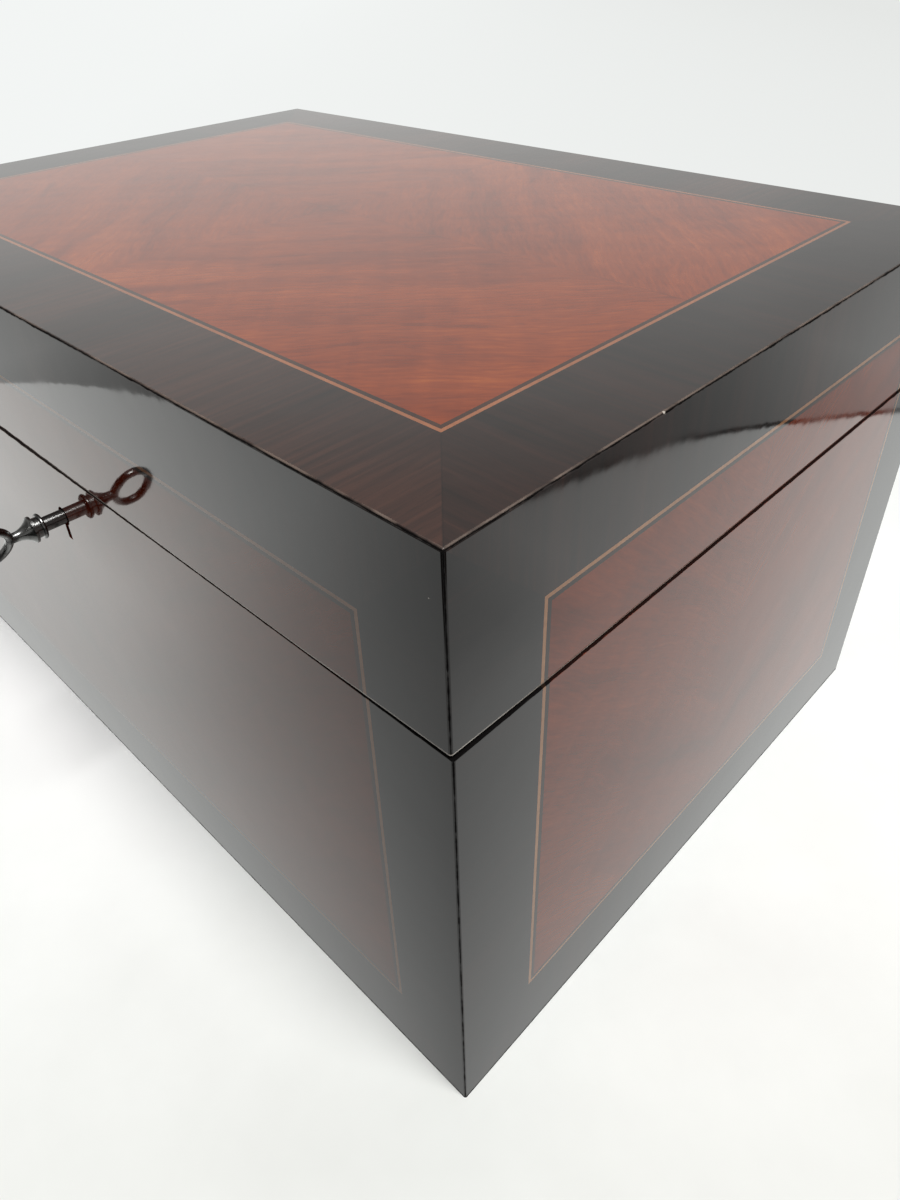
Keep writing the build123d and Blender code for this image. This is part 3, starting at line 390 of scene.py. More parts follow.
# ---------------------------------------------------------------- finishes
def new_finish(name):
    """An empty material with one Principled shader. Returns it, its bench, the shader and the object position."""
    material = bpy.data.materials.new(name)
    material.use_nodes = True
    tree = material.node_tree
    tree.nodes.clear()
    b = Bench(tree)
    shader = b.node("ShaderNodeBsdfPrincipled")
    out = b.node("ShaderNodeOutputMaterial")
    tree.links.new(shader.outputs[0], out.inputs[0])
    place = b.node("ShaderNodeTexCoord").outputs["Object"]
    return material, b, shader, place


def face_position(b, place, face):
    """The position flattened onto a face: u across it, v up it (towards the back on the top)."""
    x, y, z = b.split(b.use(CASE_POSITION, Position=place)["Place"])
    return {"top": (x, y, z), "long": (x, z, y), "end": (y, z, x)}[face]


POLISH_IOR = 1.68  # above that of shellac, for stronger mirroring


def polished(b, shader, place, colour, pores):
    """Puts the polish over a wood colour: a clear gloss whose ripple and pores come from the shared effect."""
    coat = b.use(POLISH, Position=place, Pores=pores)
    arris = b.use(ARRIS, Position=b.use(CASE_POSITION, Position=place)["Place"])
    edge = arris["Edge"]
    # painted shade: near black along the edges, the seam and the foot
    colour = b.mix(b.math("MULTIPLY", edge, 0.94), colour, (0.004, 0.003, 0.003))
    # rubbed-through wood along the top's edge, in part a painted highlight
    colour = b.mix(arris["Wear"], colour, (0.27, 0.20, 0.16))
    # chips, and the painted highlight along the lid's lower edge
    colour = b.mix(arris["Chips"], colour, (0.62, 0.56, 0.49))
    b.feed(shader.inputs["Base Color"], colour)
    b.feed(shader.inputs["Roughness"], b.math("ADD", coat["Roughness"], b.math("MULTIPLY", edge, 0.85)))
    # metallic black only takes the gloss off the painted shade along the edges
    clear_of_wear_and_highlight = b.math("SUBTRACT", 1.0, b.math("MAXIMUM", arris["Wear"], arris["Chips"]))
    b.feed(shader.inputs["Metallic"], b.math("MULTIPLY", b.math("MULTIPLY", edge, 0.9), clear_of_wear_and_highlight))
    b.feed(shader.inputs["Normal"], b.bump(coat["Height"], 0.35, 0.00012))
    shader.inputs["IOR"].default_value = POLISH_IOR


# the sunk tones of the mahogany, from its dark flames to its lightest bands
MAHOGANY = [
    (0.0, (0.090, 0.012, 0.003)),
    (0.35, (0.170, 0.024, 0.004)),
    (0.6, (0.235, 0.038, 0.005)),
    (0.8, (0.300, 0.058, 0.007)),
    (1.0, (0.380, 0.090, 0.012)),
]


def mahogany_panel(name, face, grain_turn, fold_v, depth=(1.0, 1.0, 1.0)):
    """Figured mahogany, matched about the middle of the face. depth multiplies its red, green and blue: painted shade
    where it is below one, painted light where above.
    """
    material, b, shader, place = new_finish(name)
    u, v, w = face_position(b, place, face)
    flat = b.join(u, v, w)
    angle = math.radians(grain_turn)
    match = b.use(BOOK_MATCH, Position=flat, Fold_V=fold_v, Grain_cos=math.cos(angle), Grain_sin=math.sin(angle))
    wood = b.use(WOOD_GRAIN, Grain=match["Grain"], Wander=1.0)
    tone = b.math("ADD", b.math("MULTIPLY", wood["Bands"], 0.50), 0.05)
    for part, share in (("Streaks", 0.36), ("Ripple", 0.20), ("Fibres", 0.16), ("Cloud", 0.36)):
        tone = b.math("ADD", tone, b.math("MULTIPLY", b.math("SUBTRACT", wood[part], 0.5), share))
    tone = b.math("SUBTRACT", tone, b.math("MULTIPLY", wood["Flames"], 0.16))
    tones = [(step, tuple(part * more for part, more in zip(shade, depth))) for step, shade in MAHOGANY]
    colour = b.ramp(b.span(tone, -0.02, 0.62), tones)
    colour = b.mix(b.math("MULTIPLY", wood["Pores"], 0.16), colour, (0.040, 0.008, 0.004))
    colour = b.mix(b.math("MULTIPLY", match["Joint"], 0.35), colour, (0.03, 0.006, 0.004))
    polished(b, shader, place, colour, wood["Pores"])
    shader.inputs["Specular Tint"].default_value = (1.0, 0.98, 0.92, 1.0)
    return material


# the tones of the crossbanding, from its dark ground to its fine light lines
BANDING = [
    (0.0, (0.005, 0.004, 0.004)),
    (0.35, (0.011, 0.007, 0.006)),
    (0.60, (0.027, 0.012, 0.009)),
    (0.80, (0.052, 0.021, 0.014)),
    (1.0, (0.090, 0.038, 0.025)),
]


def crossbanding(name, face, half_u, low_v, high_v, upright_width, level_width):
    """Dark crossbanding, its grain square to each edge and mitred at the corners, drawn with fine lighter lines."""
    material, b, shader, place = new_finish(name)
    u, v, w = face_position(b, place, face)
    flat = b.join(u, v, w)
    strip = b.use(MITRE, Position=flat, Half_U=half_u, Low_V=low_v, High_V=high_v,
                  Upright_width=upright_width, Level_width=level_width)
    wood = b.use(WOOD_GRAIN, Grain=strip["Grain"], Wander=0.12)
    lines = b.noise(b.stretch(strip["Grain"], (22.0, 640.0, 90.0)), detail=4.0, rough=0.60, bend=0.25)
    sweep = b.noise(b.stretch(strip["Grain"], (9.0, 34.0, 50.0), move=(2.0, 6.0, 0.0)), detail=2.0)
    tone = b.math("MULTIPLY", b.math("SUBTRACT", lines, 0.5), 0.85)
    for value, share in ((sweep, 0.75), (wood["Bands"], 0.35), (wood["Fibres"], 0.25), (wood["Cloud"], 0.25)):
        tone = b.math("ADD", tone, b.math("MULTIPLY", b.math("SUBTRACT", value, 0.5), share))
    if face == "top":
        # browner and calmer towards the near corner
        warm = b.span(b.math("SUBTRACT", u, v), 0.14, 0.25)
        warm = b.math("MULTIPLY", warm, b.math("LESS_THAN", b.math("MULTIPLY", u, v), 0.0))
        tone = b.math("MULTIPLY", tone, b.math("SUBTRACT", 1.0, b.math("MULTIPLY", warm, 0.35)))
        tone = b.math("ADD", tone, b.math("MULTIPLY", warm, 0.22))
    # painted sheen: the upright strips are darker than the level ones, for the sheen that changes with the grain's
    # direction
    tone = b.math("SUBTRACT", b.math("ADD", tone, 0.5), b.math("MULTIPLY", strip["Upright"], 0.20))
    colour = b.ramp(tone, BANDING)
    colour = b.mix(b.math("MULTIPLY", wood["Pores"], 0.3), colour, (0.004, 0.003, 0.003))
    colour = b.mix(b.math("MULTIPLY", strip["Joint"], 0.4), colour, (0.003, 0.002, 0.002))
    polished(b, shader, place, colour, wood["Pores"])
    return material


def stringing(name, dark, light, top=(1.0, 1.0, 1.0), front=(1.0, 1.0, 1.0)):
    """A thin strip of wood let in between border and panel, with fine grain.

    top and front multiply its colour on those faces: painted shade, so the lines there are darker than on the ends."""
    material, b, shader, place = new_finish(name)
    grain = b.noise(b.stretch(place, (900.0, 900.0, 900.0)), detail=2.0)
    cloud = b.noise(b.stretch(place, (60.0, 60.0, 60.0)), detail=2.0)
    tone = b.math("ADD", b.math("MULTIPLY", grain, 0.4), b.math("MULTIPLY", cloud, 0.6))
    x, _, z = b.split(b.use(CASE_POSITION, Position=place)["Place"])
    on_top = b.math("GREATER_THAN", z, HEIGHT - STRING_DEPTH)
    on_end = b.math("GREATER_THAN", b.math("ABSOLUTE", x), HALF_W - STRING_DEPTH)
    painted_face_shade = b.mix(on_top, b.mix(on_end, front, (1.0, 1.0, 1.0)), top)
    colour = b.mix(1.0, b.mix(b.span(tone, 0.3, 0.7), dark, light), painted_face_shade, "MULTIPLY")
    polished(b, shader, place, colour, 0.0)
    return material


def plain_wood(name, tones, roughness):
    """Planed solid wood with its grain along X."""
    material, b, shader, place = new_finish(name)
    wood = b.use(WOOD_GRAIN, Grain=place, Wander=1.2)
    tone = b.math("ADD", b.math("MULTIPLY", wood["Bands"], 0.8), b.math("MULTIPLY", wood["Fibres"], 0.3))
    colour = b.ramp(b.span(tone, 0.25, 0.85), tones)
    colour = b.mix(b.math("MULTIPLY", wood["Pores"], 0.35), colour, tones[0][1])
    b.feed(shader.inputs["Base Color"], colour)
    b.feed(shader.inputs["Roughness"], b.span(wood["Fibres"], 0.3, 0.7, roughness - 0.06, roughness + 0.06))
    b.feed(shader.inputs["Normal"], b.bump(wood["Fibres"], 0.3, 0.0001))
    return material


def rim_finish():
    """The thin veneer on the meeting edges: dark mahogany, with painted shade near black where it reaches the outer
    faces, in the seam.
    """
    material, b, shader, place = new_finish("rim veneer")
    x, y, _ = b.split(b.use(CASE_POSITION, Position=place)["Place"])
    dx = b.math("SUBTRACT", HALF_W, b.math("ABSOLUTE", x))
    dy = b.math("SUBTRACT", HALF_D, b.math("ABSOLUTE", y))
    wood = b.use(WOOD_GRAIN, Grain=place, Wander=0.8)
    tones = [(0.25, (0.020, 0.007, 0.005)), (0.55, (0.050, 0.014, 0.008)), (0.8, (0.085, 0.024, 0.012))]
    colour = b.ramp(wood["Bands"], tones)
    # painted shade near black in the seam, where the rim reaches the outer faces
    seam_shade = b.span(b.math("MINIMUM", dx, dy), 0.0016, 0.0026, 1.0, 0.0)
    b.feed(shader.inputs["Base Color"], b.mix(seam_shade, colour, (0.003, 0.002, 0.002)))
    b.feed(shader.inputs["Roughness"], b.span(seam_shade, 0.0, 1.0, 0.30, 0.55))
    b.feed(shader.inputs["Normal"], b.bump(wood["Fibres"], 0.2, 0.0001))
    return material


def metal(name, clean, stained, roughness, stain_size=120.0):
    """Old metal: a clean tone and a stained one in clouds, fine rubbing marks, duller where it is stained."""
    material, b, shader, place = new_finish(name)
    stain = b.noise(b.stretch(place, (stain_size,) * 3), detail=5.0, rough=0.62, bend=0.4)
    stain = b.span(stain, 0.4, 0.68, smooth=True)
    marks = b.noise(b.stretch(place, (2200.0, 260.0, 900.0)), detail=3.0, rough=0.6)
    b.feed(shader.inputs["Base Color"], b.mix(stain, clean, stained))
    dull = b.span(stain, 0.0, 1.0, roughness, roughness + 0.22)
    b.feed(shader.inputs["Roughness"], b.math("ADD", dull, b.math("MULTIPLY", marks, 0.06)))
    b.feed(shader.inputs["Normal"], b.bump(b.math("ADD", marks, b.math("MULTIPLY", stain, 0.4)), 0.14, 0.00003))
    shader.inputs["Metallic"].default_value = 1.0
    return material


def satin_lining():
    """Crimson satin, sewn in diamonds: glossy on the swells, with painted shade along the sewn lines."""
    material, b, shader, place = new_finish("quilted satin")
    cells = b.node("ShaderNodeUVMap", uv_map="diamonds").outputs[0]
    quilt = b.use(QUILTING, Cells=cells)
    weave = b.use(SATIN, Position=place)
    colour = b.mix(b.span(weave["Drift"], 0.3, 0.7), (0.27, 0.014, 0.026), (0.37, 0.024, 0.040))
    colour = b.mix(b.math("MULTIPLY", weave["Thread"], 0.35), colour, (0.22, 0.012, 0.025))
    # painted shade along the sewn lines
    colour = b.mix(b.math("MULTIPLY", quilt["Line"], 0.55), colour, (0.10, 0.006, 0.012))
    colour = b.mix(b.math("MULTIPLY", quilt["Stitch"], 0.7), colour, (0.46, 0.07, 0.09))
    b.feed(shader.inputs["Base Color"], colour)
    b.feed(shader.inputs["Roughness"], b.span(weave["Thread"], 0.3, 0.7, 0.38, 0.50))
    height = b.math("ADD", quilt["Height"], b.math("MULTIPLY", weave["Thread"], 0.05))
    b.feed(shader.inputs["Normal"], b.bump(height, 0.7, 0.0008))
    shader.inputs["Sheen Weight"].default_value = 0.2
    shader.inputs["Sheen Roughness"].default_value = 0.35
    shader.inputs["Sheen Tint"].default_value = (1.0, 0.42, 0.46, 1.0)
    return material


PANEL_TOP = mahogany_panel("figured mahogany, top", "top", -45.0, 1.0)
# painted shade and light: the long sides are darker and greyer, the ends a little lighter, than the top's wood
PANEL_LONG = mahogany_panel("figured mahogany, long sides", "long", 38.0, 0.0, (0.72, 0.50, 0.60))
PANEL_END = mahogany_panel("figured mahogany, ends", "end", 38.0, 0.0, (1.2, 1.0, 1.0))
BAND_TOP = crossbanding("crossbanding, top", "top", HALF_W, -HALF_D, HALF_D, TOP_BORDER, TOP_BORDER)
BAND_LONG = crossbanding("crossbanding, long sides", "long", HALF_W, 0.0, HEIGHT, FRONT_BORDER, LEVEL_BORDER)
BAND_END = crossbanding("crossbanding, ends", "end", HALF_D, 0.0, HEIGHT, END_BORDER, LEVEL_BORDER)
# the last two colours are painted shade on the lines of the top and of the front
LIGHT_STRING = stringing(
    "boxwood string", (0.42, 0.19, 0.085), (0.60, 0.29, 0.135), (0.54, 0.42, 0.41), (0.60, 0.60, 0.66)
)
DARK_STRING = stringing("rosewood string", (0.022, 0.009, 0.006), (0.055, 0.020, 0.011))
RIM = rim_finish()
CARCASS = plain_wood(
    "carcass wood", [(0.0, (0.20, 0.10, 0.045)), (0.5, (0.36, 0.205, 0.10)), (1.0, (0.48, 0.30, 0.155))], 0.62
)
HINGE_BRASS = metal("hinge brass", (0.72, 0.50, 0.20), (0.36, 0.22, 0.085), 0.24)
LOCK_BRASS = metal("lock brass", (0.70, 0.50, 0.22), (0.38, 0.25, 0.10), 0.26)
LOCK_STEEL = metal("lock steel", (0.42, 0.41, 0.40), (0.15, 0.125, 0.11), 0.34)
KEY_STEEL = metal("key steel", (0.22, 0.22, 0.215), (0.030, 0.028, 0.027), 0.17, 210.0)
LINING = satin_lining()


def material_of(node, slot):
    """The finish of a CAD node, by its material slot and the face it lies on."""
    face = "top" if "_top_" in node else "long" if "_front_" in node or "_back_" in node else "end"
    return {
        "figured_veneer": {"top": PANEL_TOP, "long": PANEL_LONG, "end": PANEL_END}[face],
        "banding": {"top": BAND_TOP, "long": BAND_LONG, "end": BAND_END}[face],
        "light_string": LIGHT_STRING, "dark_string": DARK_STRING, "rim_veneer": RIM,
        "carcass_wood": CARCASS, "lining": LINING, "hinge_brass": HINGE_BRASS,
        "lock_brass": LOCK_BRASS, "lock_steel": LOCK_STEEL, "key_steel": KEY_STEEL,
    }[slot]


SLOT_BY_WORD = {
    "panel_veneer": "figured_veneer", "crossbanding": "banding", "light_stringing": "light_string",
    "dark_stringing": "dark_string", "rim_veneer": "rim_veneer", "pad": "lining", "board": "carcass_wood",
    "hinge": "hinge_brass", "key": "key_steel",
}
STEEL_NODES = ("lock_bolt", "lock_spring", "lock_screws", "lock_link_screws", "lock_drill_pin")


def slot_of(node):
    """The material slot of a CAD node, by the first word of SLOT_BY_WORD in its name."""
    for word, slot in SLOT_BY_WORD.items():
        if word in node:
            return slot
    return "lock_steel" if node in STEEL_NODES else "lock_brass"


for node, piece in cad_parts.items():
    finish = material_of(node, slot_of(node))
    for place in piece.material_slots:
        place.material = finish

# ---------------------------------------------------------------- the padded lining
DIAMOND = 6  # grid cells across a diamond
TWO_CELLS = 0.0080  # the length of two grid cells, about
SEWN, RIM_HEIGHT = 0.30, 0.74  # the height of the sewn lines and of the rim, as shares of a pad's depth
PAD_SKIN = 0.00005  # a pad's back stands this far off its place


def spaced(low, high, cells, fixed=None):
    """Evenly spaced places from low to high. fixed = {index: place} holds some of them where they must be."""
    marks = {0: low, cells: high, **(fixed or {})}
    order = sorted(marks)
    return np.interp(np.arange(cells + 1), order, [marks[i] for i in order])


def quilted_form(us, vs, depth, opened):
    """A thin closed cushion on the grid us x vs: vertices (u, v, n), faces, diamond counts, and the sewn vertices.

    Its back lies at n = 0. Its face is n = depth (SEWN + 0.34 h), where h = sqrt(|sin pi(a + c) sin pi(a - c)|)
    swells inside each diamond, a and c being the grid indices from the middle over DIAMOND. Its rim is at
    depth RIM_HEIGHT. opened(i, j) is true for cells left out. The outline pulls in by 0.15 mm + 0.5 mm (1 - h),
    which is most at the sewn points."""
    columns, rows = len(us) - 1, len(vs) - 1
    kept = np.array([[not opened(i, j) for j in range(rows)] for i in range(columns)])
    i, j = np.meshgrid(np.arange(columns + 1), np.arange(rows + 1), indexing="ij")
    a, c = (i - columns / 2) / DIAMOND, (j - rows / 2) / DIAMOND
    swell = np.sqrt(np.abs(np.sin(np.pi * (a + c)) * np.sin(np.pi * (a - c))))
    around = np.zeros((columns + 2, rows + 2), bool)
    around[1:-1, 1:-1] = kept
    touching = around[:-1, :-1].astype(int) + around[1:, :-1] + around[:-1, 1:] + around[1:, 1:]
    rim = (touching > 0) & (touching < 4)
    seam = swell < 1e-3
    # which way is inwards at the rim, and how far the outline pulls in there
    inward_u = (around[1:, 1:].astype(float) + around[1:, :-1] - around[:-1, 1:] - around[:-1, :-1]) * rim
    inward_v = (around[1:, 1:].astype(float) + around[:-1, 1:] - around[1:, :-1] - around[:-1, :-1]) * rim
    pull = 0.00015 + 0.0005 * (1.0 - swell)
    u = us[i] + np.sign(inward_u) * pull
    v = vs[j] + np.sign(inward_v) * pull
    face = depth * np.where(rim, RIM_HEIGHT, SEWN + 0.34 * swell)
    used = touching > 0
    number = np.full(used.shape, -1)
    number[used] = np.arange(used.sum())
    below = used.sum()
    front = np.stack([u[used], v[used], face[used]], 1)
    back = np.stack([u[used], v[used], np.zeros(below)], 1)
    points = np.concatenate([front, back])
    counts = np.concatenate([np.stack([a[used], c[used]], 1)] * 2)
    sewn = np.concatenate([(seam | rim)[used], np.ones(below, bool)])
    faces = []
    for x in range(columns):
        for y in range(rows):
            if not kept[x, y]:
                continue
            p, q, r, s = number[x, y], number[x + 1, y], number[x + 1, y + 1], number[x, y + 1]
            faces.append((p + below, s + below, r + below, q + below))
            # a cell that a sewn line crosses is split along it
            if seam[x, y] and seam[x + 1, y + 1]:
                faces += [(p, q, r), (p, r, s)]
            elif seam[x + 1, y] and seam[x, y + 1]:
                faces += [(p, q, s), (q, r, s)]
            else:
                faces.append((p, q, r, s))
            for near, far, du, dv in ((p, q, 0, -1), (q, r, 1, 0), (r, s, 0, 1), (s, p, -1, 0)):
                if not around[x + 1 + du, y + 1 + dv]:
                    faces.append((near, near + below, far + below, far))
    return points, faces, counts, sewn


def puff_up(piece, sewn, frames=20, pressure=4.0):
    """Cloth simulation: the cover is blown up against its sewn lines, and the result is kept in the mesh."""
    group = piece.vertex_groups.new(name="sewn")
    group.add([int(k) for k in np.flatnonzero(sewn)], 1.0, "REPLACE")
    cloth = piece.modifiers.new("cover", "CLOTH")
    cloth.settings.vertex_group_mass = "sewn"
    cloth.settings.quality = 5
    cloth.settings.mass = 0.15
    cloth.settings.tension_stiffness = cloth.settings.compression_stiffness = 8.0
    cloth.settings.shear_stiffness = 4.0
    cloth.settings.bending_stiffness = 0.05
    cloth.settings.use_pressure = True
    cloth.settings.uniform_pressure_force = pressure
    cloth.settings.effector_weights.gravity = 0.0
    cloth.collision_settings.use_collision = False
    cloth.point_cache.frame_end = frames
    for frame_number in range(1, frames + 1):
        bpy.context.scene.frame_set(frame_number)
    shaped = piece.evaluated_get(bpy.context.evaluated_depsgraph_get())
    points = np.empty(len(shaped.data.vertices) * 3)
    shaped.data.vertices.foreach_get("co", points)
    piece.modifiers.remove(cloth)
    piece.vertex_groups.remove(group)
    bpy.context.scene.frame_set(1)
    return points.reshape(-1, 3)


def quilted_pad(name, node, body, axes, inwards, low, high, opening=None):
    """A quilted pad between two corners. axes = (along, up, out of the wall), and inwards is +1 or -1 on the last.

    opening = (half width, lowest height) is left out at its top middle, for the lock."""
    along, up, out = axes
    columns = 2 * round((high[along] - low[along]) / TWO_CELLS)
    rows = 2 * round((high[up] - low[up]) / TWO_CELLS)
    fixed_u, fixed_v, opened = {}, {}, lambda i, j: False
    if opening:
        half, lowest = opening
        wide = round(half * columns / (high[along] - low[along]))
        tall = round((lowest - low[up]) * rows / (high[up] - low[up]))
        fixed_u = {columns // 2 - wide: -half, columns // 2 + wide: half}
        fixed_v = {tall: lowest}
        opened = lambda i, j: abs(i + 0.5 - columns / 2) < wide and j >= tall
    us = spaced(low[along], high[along], columns, fixed_u)
    vs = spaced(low[up], high[up], rows, fixed_v)
    depth = high[out] - low[out]
    points, faces, counts, sewn = quilted_form(us, vs, depth, opened)
    mesh = bpy.data.meshes.new(name)
    mesh.from_pydata(points.tolist(), [], faces)
    diamonds = mesh.uv_layers.new(name="diamonds")
    corners = np.array([loop.vertex_index for loop in mesh.loops])
    diamonds.data.foreach_set("uv", counts[corners].ravel())
    piece = bpy.data.objects.new(name, mesh)
    bpy.context.collection.objects.link(piece)
    blown = puff_up(piece, sewn)
    # the swell is kept to the pad's own depth, and the sides to its outline
    free = ~sewn
    rise = blown[:, 2] - SEWN * depth
    highest = np.percentile(rise[free], 99.5)
    blown[free, 2] = SEWN * depth + rise[free] * 0.66 * depth / highest
    blown[free, 2] = np.clip(blown[free, 2], 0.05 * depth, 0.985 * depth)
    ends = np.array([edge.vertices[:] for edge in mesh.edges])
    for _ in range(3):  # evens out the ripple that the grid leaves
        total, count = np.zeros(len(points)), np.zeros(len(points))
        for here, there in (ends.T, ends.T[::-1]):
            np.add.at(total, here, blown[there, 2])
            np.add.at(count, here, 1.0)
        blown[free, 2] = 0.5 * blown[free, 2] + 0.5 * (total / count)[free]
    drift = np.clip(blown[:, :2] - points[:, :2], -0.0010, 0.0010)
    points = np.where(free[:, None], np.concatenate([points[:, :2] + drift, blown[:, 2:]], 1), points)
    placed = np.empty((len(points), 3))
    placed[:, along], placed[:, up] = points[:, 0], points[:, 1]
    placed[:, out] = low[out] + PAD_SKIN + points[:, 2] if inwards > 0 else high[out] - PAD_SKIN - points[:, 2]
    mesh.vertices.foreach_set("co", placed.ravel())
    mesh.update()
    turned = bmesh.new()
    turned.from_mesh(mesh)
    bmesh.ops.recalc_face_normals(turned, faces=turned.faces)
    turned.to_mesh(mesh)
    turned.free()
    for polygon in mesh.polygons:
        polygon.use_smooth = True
    rounder = piece.modifiers.new("rounder", "SUBSURF")
    rounder.levels = rounder.render_levels = 1
    mesh.materials.append(LINING)
    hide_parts(node)
    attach(piece, body)


X, Y, Z = 0, 1, 2
LOCK_OPENING = (0.0294, 0.0945)  # half width and lowest height
WALLS = {"front": ((X, Z, Y), 1), "back": ((X, Z, Y), -1), "left": ((Y, Z, X), 1), "right": ((Y, Z, X), -1)}
for wall, (axes, inwards) in WALLS.items():
    low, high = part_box(f"base_{wall}_pad")
    opening = LOCK_OPENING if wall == "front" else None
    quilted_pad(f"quilted_{wall}_wall", f"base_{wall}_pad", "base", axes, inwards, low, high, opening)
low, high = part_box("base_floor_pad")
quilted_pad("quilted_floor", "base_floor_pad", "base", (X, Y, Z), 1, low, high)
low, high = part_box("lid_ceiling_pad")
quilted_pad("quilted_ceiling", "lid_ceiling_pad", "lid", (X, Y, Z), -1, low, high)
low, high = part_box("lid_wall_pads")
WALL_PAD, PAD_GAP = 0.0035, 0.0003
for wall, (axes, inwards) in WALLS.items():
    first, last = Vector(low), Vector(high)
    if inwards > 0:
        last[axes[2]] = first[axes[2]] + WALL_PAD
    else:
        first[axes[2]] = last[axes[2]] - WALL_PAD
    if axes[0] == Y:
        first.y, last.y = low.y + WALL_PAD + PAD_GAP, high.y - WALL_PAD - PAD_GAP
    quilted_pad(f"quilted_lid_{wall}", "lid_wall_pads", "lid", axes, inwards, first, last)

# ---------------------------------------------------------------- floor, cards, lamps and camera
def stage_sheet(name, points, height):
    """A flat stage piece through a ring of points."""
    mesh = bpy.data.meshes.new(name)
    mesh.from_pydata([(x, y, height) for x, y in points], [], [tuple(range(len(points)))])
    sheet = bpy.data.objects.new(name, mesh)
    bpy.context.collection.objects.link(sheet)
    return sheet


# the room is painted darker to the right: painted shade on the backdrop
ROOM_LEFT, ROOM_RIGHT = (0.895, 0.915, 0.905), (0.785, 0.80, 0.785)
ACROSS_VIEW = (0.716, 0.697)  # the direction on the floor that runs across the view, to the right
EYE_X, EYE_Y = 0.219, -0.172  # the viewer's place over the floor
EYE_IN_FRONT, EYE_IN_SIDE = -0.036, 0.081  # its Y mirrored in the front face, and its X mirrored in the right one


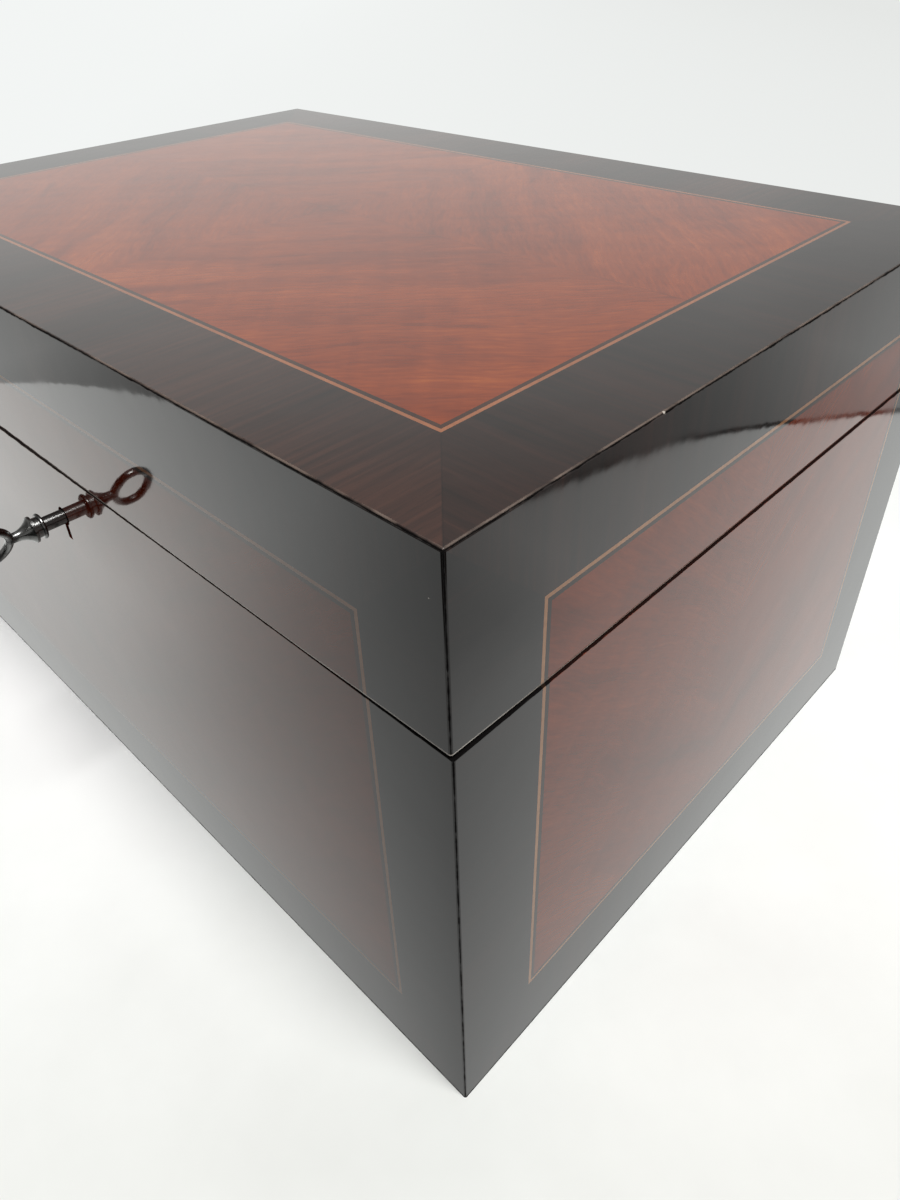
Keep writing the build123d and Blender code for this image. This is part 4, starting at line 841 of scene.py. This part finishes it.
def floor_finish():
    """A plain white table that fades into a white room.

    Mirrored in the polish it shades off towards the near corner, and past its rounded rim it is darker. The two
    mirrored ramps run by the direction from the viewer's mirror image, so they fit the one view."""
    material, b, shader, place = new_finish("white table")
    x, y, _ = b.split(place)

    def past_line(along_x, along_y, reach):
        """How far a place is past the line along_x x + along_y y = reach."""
        return b.math("SUBTRACT", b.math("ADD", b.math("MULTIPLY", x, along_x), b.math("MULTIPLY", y, along_y)), reach)

    scuffs = b.noise(b.stretch(place, (9.0, 9.0, 9.0)), detail=5.0, rough=0.6)
    seen = b.mix(b.span(scuffs, 0.35, 0.75), (0.94, 0.955, 0.93), (0.85, 0.86, 0.835))
    # painted shade on the floor towards the near corner
    near_corner_shade = b.span(b.math("SUBTRACT", x, y), 0.17, 0.275)
    seen = b.mix(near_corner_shade, seen, b.mix(1.0, seen, (0.88, 0.88, 0.87), "MULTIPLY"))
    # painted light on the floor by the front's left foot, where the box's shade would fall
    painted_light_by_foot = b.math("MULTIPLY", b.span(x, 0.06, -0.04), b.span(y, -0.17, -0.115))
    seen = b.mix(painted_light_by_foot, seen, (1.0, 1.0, 0.99))
    # the ramps in front of the box and beside it, by slope over 5
    away_from_eye = b.math("MAXIMUM", b.math("SUBTRACT", EYE_IN_FRONT, y), 0.01)
    before = b.math("DIVIDE", b.math("DIVIDE", b.math("SUBTRACT", EYE_X, x), away_from_eye), 5.0)
    before = b.greys(before, {0.16: 0.35, 0.23: 0.50, 0.29: 0.62, 0.35: 0.71, 0.47: 0.86, 0.62: 0.99, 0.84: 1.05})
    away_from_eye = b.math("MAXIMUM", b.math("SUBTRACT", x, EYE_IN_SIDE), 0.01)
    beside = b.math("DIVIDE", b.math("DIVIDE", b.math("SUBTRACT", y, EYE_Y), away_from_eye), 5.0)
    beside = b.greys(beside, {0.14: 0.48, 0.20: 0.64, 0.27: 0.76, 0.38: 0.86, 0.50: 0.98, 0.58: 1.05, 0.66: 1.10})
    # painted shade in the mirrored floor beside the right face
    dull = b.math("MULTIPLY", b.span(x, 0.235, 0.265, 0.0, 0.2), b.span(y, 0.09, 0.04))
    beside = b.mix(dull, beside, (0.0, 0.0, 0.0))
    right = b.math("GREATER_THAN", x, HALF_W)
    front = b.math("MULTIPLY", b.math("LESS_THAN", y, -HALF_D), b.math("SUBTRACT", 1.0, right))
    shade = b.mix(right, b.mix(front, (0.58, 0.58, 0.58), before), beside)
    qx = b.math("SUBTRACT", b.math("ABSOLUTE", b.math("SUBTRACT", x, 0.013)), 0.225)
    qy = b.math("SUBTRACT", b.math("ABSOLUTE", b.math("SUBTRACT", y, 0.166)), 0.222)
    rounded = b.measure("LENGTH", b.join(b.math("MAXIMUM", qx, 0.0), b.math("MAXIMUM", qy, 0.0)))
    rim = b.math("SUBTRACT", b.math("ADD", rounded, b.math("MINIMUM", b.math("MAXIMUM", qx, qy), 0.0)), 0.212)
    side_rim, corner_rim = past_line(0.980, 0.2007, 0.3301), past_line(0.816, 0.5785, 0.3675)
    rim = b.math("MAXIMUM", rim, b.math("SMOOTH_MAX", side_rim, corner_rim, 0.030))
    far_side = b.mix(right, b.span(x, -0.40, -0.09, 0.74, 0.08), b.span(y, 0.05, 0.40, 0.06, 0.56))
    past = b.span(rim, -0.0004, 0.0012, 1.0, 0.0)
    # a painted pool of light on the table in front of the box's left half, seen only in the polish
    window = b.math("MULTIPLY", b.span(x, 0.02, -0.12, 0.0, 0.36, smooth=True), b.span(y, -0.112, -0.15))
    window = b.math("ADD", 1.0, b.math("MULTIPLY", b.math("MULTIPLY", window, front), past))
    past = b.math("ADD", past, b.math("MULTIPLY", b.math("SUBTRACT", 1.0, past), far_side))
    line = b.span(b.math("ABSOLUTE", b.math("SUBTRACT", rim, 0.0020)), 0.0018, 0.0032, 0.85, 0.0)
    line = b.math("MULTIPLY", line, b.span(x, 0.08, 0.14))
    past = b.math("MULTIPLY", past, b.math("SUBTRACT", 1.0, line))
    mirrored = b.mix(1.0, b.mix(1.0, shade, (0.985, 1.0, 0.98), "MULTIPLY"), b.join(past, past, past), "MULTIPLY")
    far = b.span(b.measure("LENGTH", b.join(x, y)), 0.30, 0.75, smooth=True)
    room = b.mix(b.span(past_line(*ACROSS_VIEW, 0.0), -0.5, 1.2), ROOM_LEFT, ROOM_RIGHT)
    ray = b.node("ShaderNodeLightPath").outputs
    to_eye = b.math("MULTIPLY", ray["Is Camera Ray"], far)
    colour = b.mix(ray["Is Camera Ray"], (0.16, 0.16, 0.155), seen)
    colour = b.mix(b.math("MAXIMUM", to_eye, ray["Is Glossy Ray"]), colour, (0.0, 0.0, 0.0))
    b.feed(shader.inputs["Base Color"], colour)
    mirrored = b.mix(1.0, mirrored, b.join(window, window, window), "MULTIPLY")
    b.feed(shader.inputs["Emission Color"], b.mix(ray["Is Glossy Ray"], room, mirrored))
    b.feed(shader.inputs["Emission Strength"], b.math("MAXIMUM", to_eye, ray["Is Glossy Ray"]))
    shader.inputs["Roughness"].default_value = 0.7
    shader.inputs["Specular IOR Level"].default_value = 0.0
    return material


floor = stage_sheet("floor", [(-20, -20), (20, -20), (20, 20), (-20, 20)], 0.0)
floor.data.materials.append(floor_finish())


def studio_world():
    """A near white room for the eye. The polish mirrors a bright wall that dims upwards and to the right."""
    world = bpy.data.worlds.new("studio")
    bpy.context.scene.world = world
    world.use_nodes = True
    world.node_tree.nodes.clear()
    b = Bench(world.node_tree)
    x, y, height = b.split(b.node("ShaderNodeTexCoord").outputs["Generated"])
    wall = b.greys(height, {
        0.0: 0.91, 0.156: 0.90, 0.26: 0.82, 0.342: 0.73, 0.438: 0.60,
        0.485: 0.48, 0.53: 0.385, 0.62: 0.36, 0.78: 0.62, 1.0: 0.70,
    })
    turn = b.math("DIVIDE", b.math("ARCTAN2", y, x), math.pi)
    across = b.greys(turn, {
        0.0: 0.45, 0.45: 0.45, 0.56: 0.66, 0.62: 0.77, 0.644: 0.86,
        0.75: 0.96, 0.783: 0.99, 0.833: 1.0, 0.96: 1.0, 1.0: 0.5,
    })
    mirrored = b.mix(1.0, b.mix(1.0, wall, across, "MULTIPLY"), (1.0, 1.0, 0.98), "MULTIPLY")
    ray = b.node("ShaderNodeLightPath").outputs
    side = b.math("ADD", b.math("MULTIPLY", x, ACROSS_VIEW[0]), b.math("MULTIPLY", y, ACROSS_VIEW[1]))
    room = b.mix(b.span(side, -0.06, 0.14, smooth=True), ROOM_LEFT, ROOM_RIGHT)
    colour = b.mix(ray["Is Glossy Ray"], b.mix(ray["Is Camera Ray"], (0.08, 0.08, 0.08), room), mirrored)
    back = b.node("ShaderNodeBackground")
    b.feed(back.inputs[0], colour)
    out = b.node("ShaderNodeOutputWorld")
    world.node_tree.links.new(back.outputs[0], out.inputs[0])


studio_world()


def soft_lamp(name, place, aim, size, watts):
    """A round white lamp at a place, turned to where it aims."""
    lamp = bpy.data.lights.new(name, "AREA")
    lamp.shape, lamp.size, lamp.energy = "DISK", size, watts
    holder = bpy.data.objects.new(name, lamp)
    bpy.context.collection.objects.link(holder)
    holder.location = place
    holder.rotation_euler = (Vector(aim) - Vector(place)).to_track_quat("-Z", "Y").to_euler()
    return holder


soft_lamp("overhead", (0.85, -0.20, 2.45), (0, 0, 0.05), 0.9, 66)
ceiling = soft_lamp("ceiling", (-0.3, 0.3, 2.6), (-0.3, 0.3, 0.0), 3.0, 10)
ceiling.visible_glossy = False

camera = bpy.data.cameras.new("camera")
viewer = bpy.data.objects.new("camera", camera)
bpy.context.collection.objects.link(viewer)
bpy.context.scene.camera = viewer
camera.sensor_width = 36.0
camera.lens = 26.25
camera.shift_x, camera.shift_y = 0.0035, -0.04624
camera.clip_start, camera.clip_end = 0.005, 60.0
right, up, back = (0.71601, 0.69748, -0.02926), (-0.38849, 0.43294, 0.81341), (0.58, -0.57104, 0.58095)
turn = Matrix((right, up, back)).transposed().to_4x4()
viewer.matrix_world = Matrix.Translation((0.21908, -0.17193, 0.23838)) @ turn

bpy.context.scene.view_settings.view_transform = "Standard"
